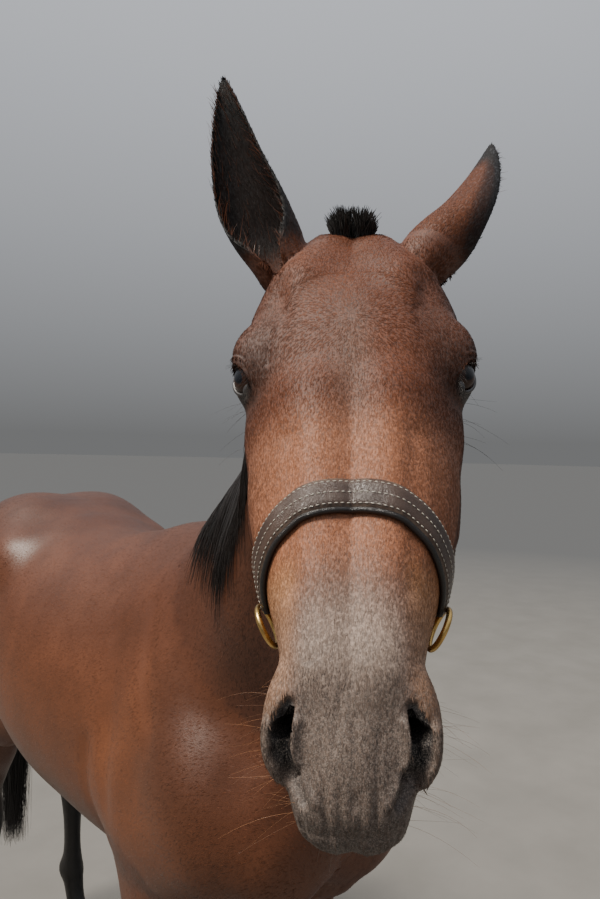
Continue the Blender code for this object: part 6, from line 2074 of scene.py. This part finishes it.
def halter(plain, leather, dark_leather, thread, brass):
    for name, (wide, guides) in halter_runs().items():
        mesh, top, out, run, across = leather_band(plain, guides, wide, STRAP_THICK)
        piece(f"{name}_leather", mesh, leather, "halter_leather", name)
        rows = (-0.36, 0.0, 0.36) if name == "halter_noseband" else (-0.38, 0.38)
        seam = stitches(top, out, run, across, rows, wide)
        seam.shade_smooth()
        piece(f"{name}_stitches", seam, thread, "halter_leather")
        if name == "halter_noseband":
            edge_line = top[:, 0] * 0.5 + top[:, 1] * 0.5 - out * STRAP_THICK * 0.45 + across * (-0.0018)
            far_line = top[:, -1] * 0.5 + top[:, -2] * 0.5 - out * STRAP_THICK * 0.45 + across * 0.0018
            lower = edge_line if edge_line[len(edge_line) // 2][2] < far_line[len(far_line) // 2][2] else far_line
            roll = tube(lower, 0.0028, 12)
            put_number(roll, "edge", np.zeros(len(roll.vertices)))
            roll.shade_smooth()
            piece("halter_noseband_roll", roll, dark_leather, "halter_leather")
    for name, at in RING_AT.items():
        centre = plain.onto(in_head(at)[None], 0.0060)[0]
        piece(f"ring_{name}", ring(centre, plain.slope(centre[None])[0], 0.0185, 0.0028), brass, "halter_brass", f"halter_ring_{name}")
    chin = plain.onto(in_head((0.455, 0, -0.19))[None], 0.026)[0]
    piece("lead_ring", ring(chin, along_head((1, 0, 0)), 0.0190, 0.0030), brass, "halter_brass", "halter_lead_ring")


def ring(centre, normal, radius, bar):
    first = unit(np.cross(normal, (0.2, 0.3, 0.93)))
    second = unit(np.cross(normal, first))
    turn = np.arange(64) * 2 * math.pi / 64
    path = [np.array(centre) + radius * (first * math.cos(a) + second * math.sin(a)) for a in turn]
    mesh = tube(path, bar * 0.98, 16, wide=unit(np.array(normal, float)), closed=True)
    mesh.shade_smooth()
    return mesh


# Stage, lights and camera
FOCAL_PIXELS = 675.0
FRAME_TALL = 899
CAMERA_AT = Vector((-0.8121, -1.6445, 1.750))
CAMERA_TURN = math.radians(40)
CAMERA_RISE = 0.0037
CAMERA_ROLL = math.radians(-1.3)


FLOOR_REACH = 160.0
SUN_LEFT, SUN_BEHIND, SUN_UP = 0.75, 0.32, 1.25
SUN_ENERGY = 5.6
SUN_ANGLE = math.radians(18)


def camera():
    data = bpy.data.cameras.new("camera")
    data.sensor_fit, data.sensor_height = "VERTICAL", 24.0
    data.lens = FOCAL_PIXELS * data.sensor_height / FRAME_TALL
    data.clip_start = 0.05
    made = bpy.data.objects.new("camera", data)
    bpy.context.scene.collection.objects.link(made)
    made.location = CAMERA_AT + MOVE
    ahead = Vector((math.sin(CAMERA_TURN), math.cos(CAMERA_TURN), CAMERA_RISE)).normalized()
    made.rotation_mode = "QUATERNION"
    made.rotation_quaternion = Quaternion(ahead, CAMERA_ROLL) @ ahead.to_track_quat("-Z", "Y")
    bpy.context.scene.camera = made
    return ahead


def stage():
    made, tree, shader = new_material("studio_floor")
    g = Graph(tree)
    fine = g.noise(g.place(), 3.0, 4.0)
    base = g.blend(g.spread(fine, 0.3, 0.7), (0.165, 0.158, 0.145, 1), (0.190, 0.182, 0.168, 1))
    away = g.add("ShaderNodeVectorMath", operation="LENGTH")
    tree.links.new(g.place(), away.inputs[0])
    base = g.blend(g.spread(away.outputs["Value"], 3.0, 12.0), base, (0.092, 0.095, 0.098, 1))
    tree.links.new(base, shader.inputs["Base Color"])
    shade(shader, 0.9, specular=0.0)
    bm = bmesh.new()
    bmesh.ops.create_circle(bm, cap_ends=True, segments=96, radius=FLOOR_REACH)
    mesh = bpy.data.meshes.new("floor")
    bm.to_mesh(mesh)
    bm.free()
    mesh.materials.append(made)
    floor = new_object("floor", mesh)
    floor.location = (0, 0, -0.0005)


def lights(ahead):
    world = bpy.data.worlds.new("studio")
    bpy.context.scene.world = world
    world.use_nodes = True
    back = world.node_tree.nodes["Background"]
    g = Graph(world.node_tree)
    split = g.add("ShaderNodeSeparateXYZ")
    world.node_tree.links.new(g.add("ShaderNodeTexCoord").outputs["Generated"], split.inputs[0])
    sky = g.blend(g.spread(split.outputs[2], 0.02, 0.75), (0.195, 0.198, 0.200, 1), (0.86, 0.89, 0.96, 1))
    world.node_tree.links.new(sky, back.inputs[0])
    back.inputs[1].default_value = 0.85
    right = ahead.cross(Vector((0, 0, 1))).normalized()
    towards = Vector((0, 0, SUN_UP)) - right * SUN_LEFT - ahead * SUN_BEHIND
    light = bpy.data.lights.new("sun", "SUN")
    light.energy, light.angle = SUN_ENERGY, SUN_ANGLE
    light.color = (1.0, 0.93, 0.83)
    made = bpy.data.objects.new("sun", light)
    bpy.context.scene.collection.objects.link(made)
    made.rotation_mode = "QUATERNION"
    made.rotation_quaternion = (-towards).to_track_quat("-Z", "Y")



def main():
    plain = plain_shape()
    shape, nostril_line = fine_shape(plain)
    skin_piece = make_skin(plain, shape, nostril_line)
    skin = Skin(skin_piece)
    skin.dress(skin_piece)
    skin_piece.shade_smooth()
    skin_piece.set_sharp_from_angle(angle=math.radians(60))
    flesh = ["head", "neck", "torso", "ear_left", "ear_right"]
    flesh += [f"{leg}_{name}" for leg in ("foreleg", "hindleg") for name, _ in SIDES]
    piece("skin", skin_piece, skin_material(), "coat", *flesh)
    short, long = tuft_material("short_coat", 0.42), tuft_material("long_hair", 0.34, 0.05, 0.5)
    coat_pieces(skin, short, tuft_material("face_coat", 0.60, 0.0, 0.18))
    ear_hair(shape, long)
    mane(plain, long)
    forelock(plain, long)
    tail(long)
    fine_hairs(plain, long)
    eyes(eye_material(), rim_material())
    hooves(hoof_material())
    leather = leather_material("halter_leather", (0.040, 0.021, 0.013), (0.085, 0.047, 0.031), (0.22, 0.16, 0.11))
    dark = leather_material("halter_roll", (0.006, 0.005, 0.005), (0.016, 0.012, 0.011), (0.06, 0.05, 0.04))
    halter(plain, leather, dark, thread_material(), brass_material())
    stage()
    lights(camera())


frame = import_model()
eye_low, eye_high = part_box("eye_left")
MOVE = (eye_low + eye_high) / 2 - Vector(in_head(EYE_AT))
main()
bpy.context.view_layer.update()
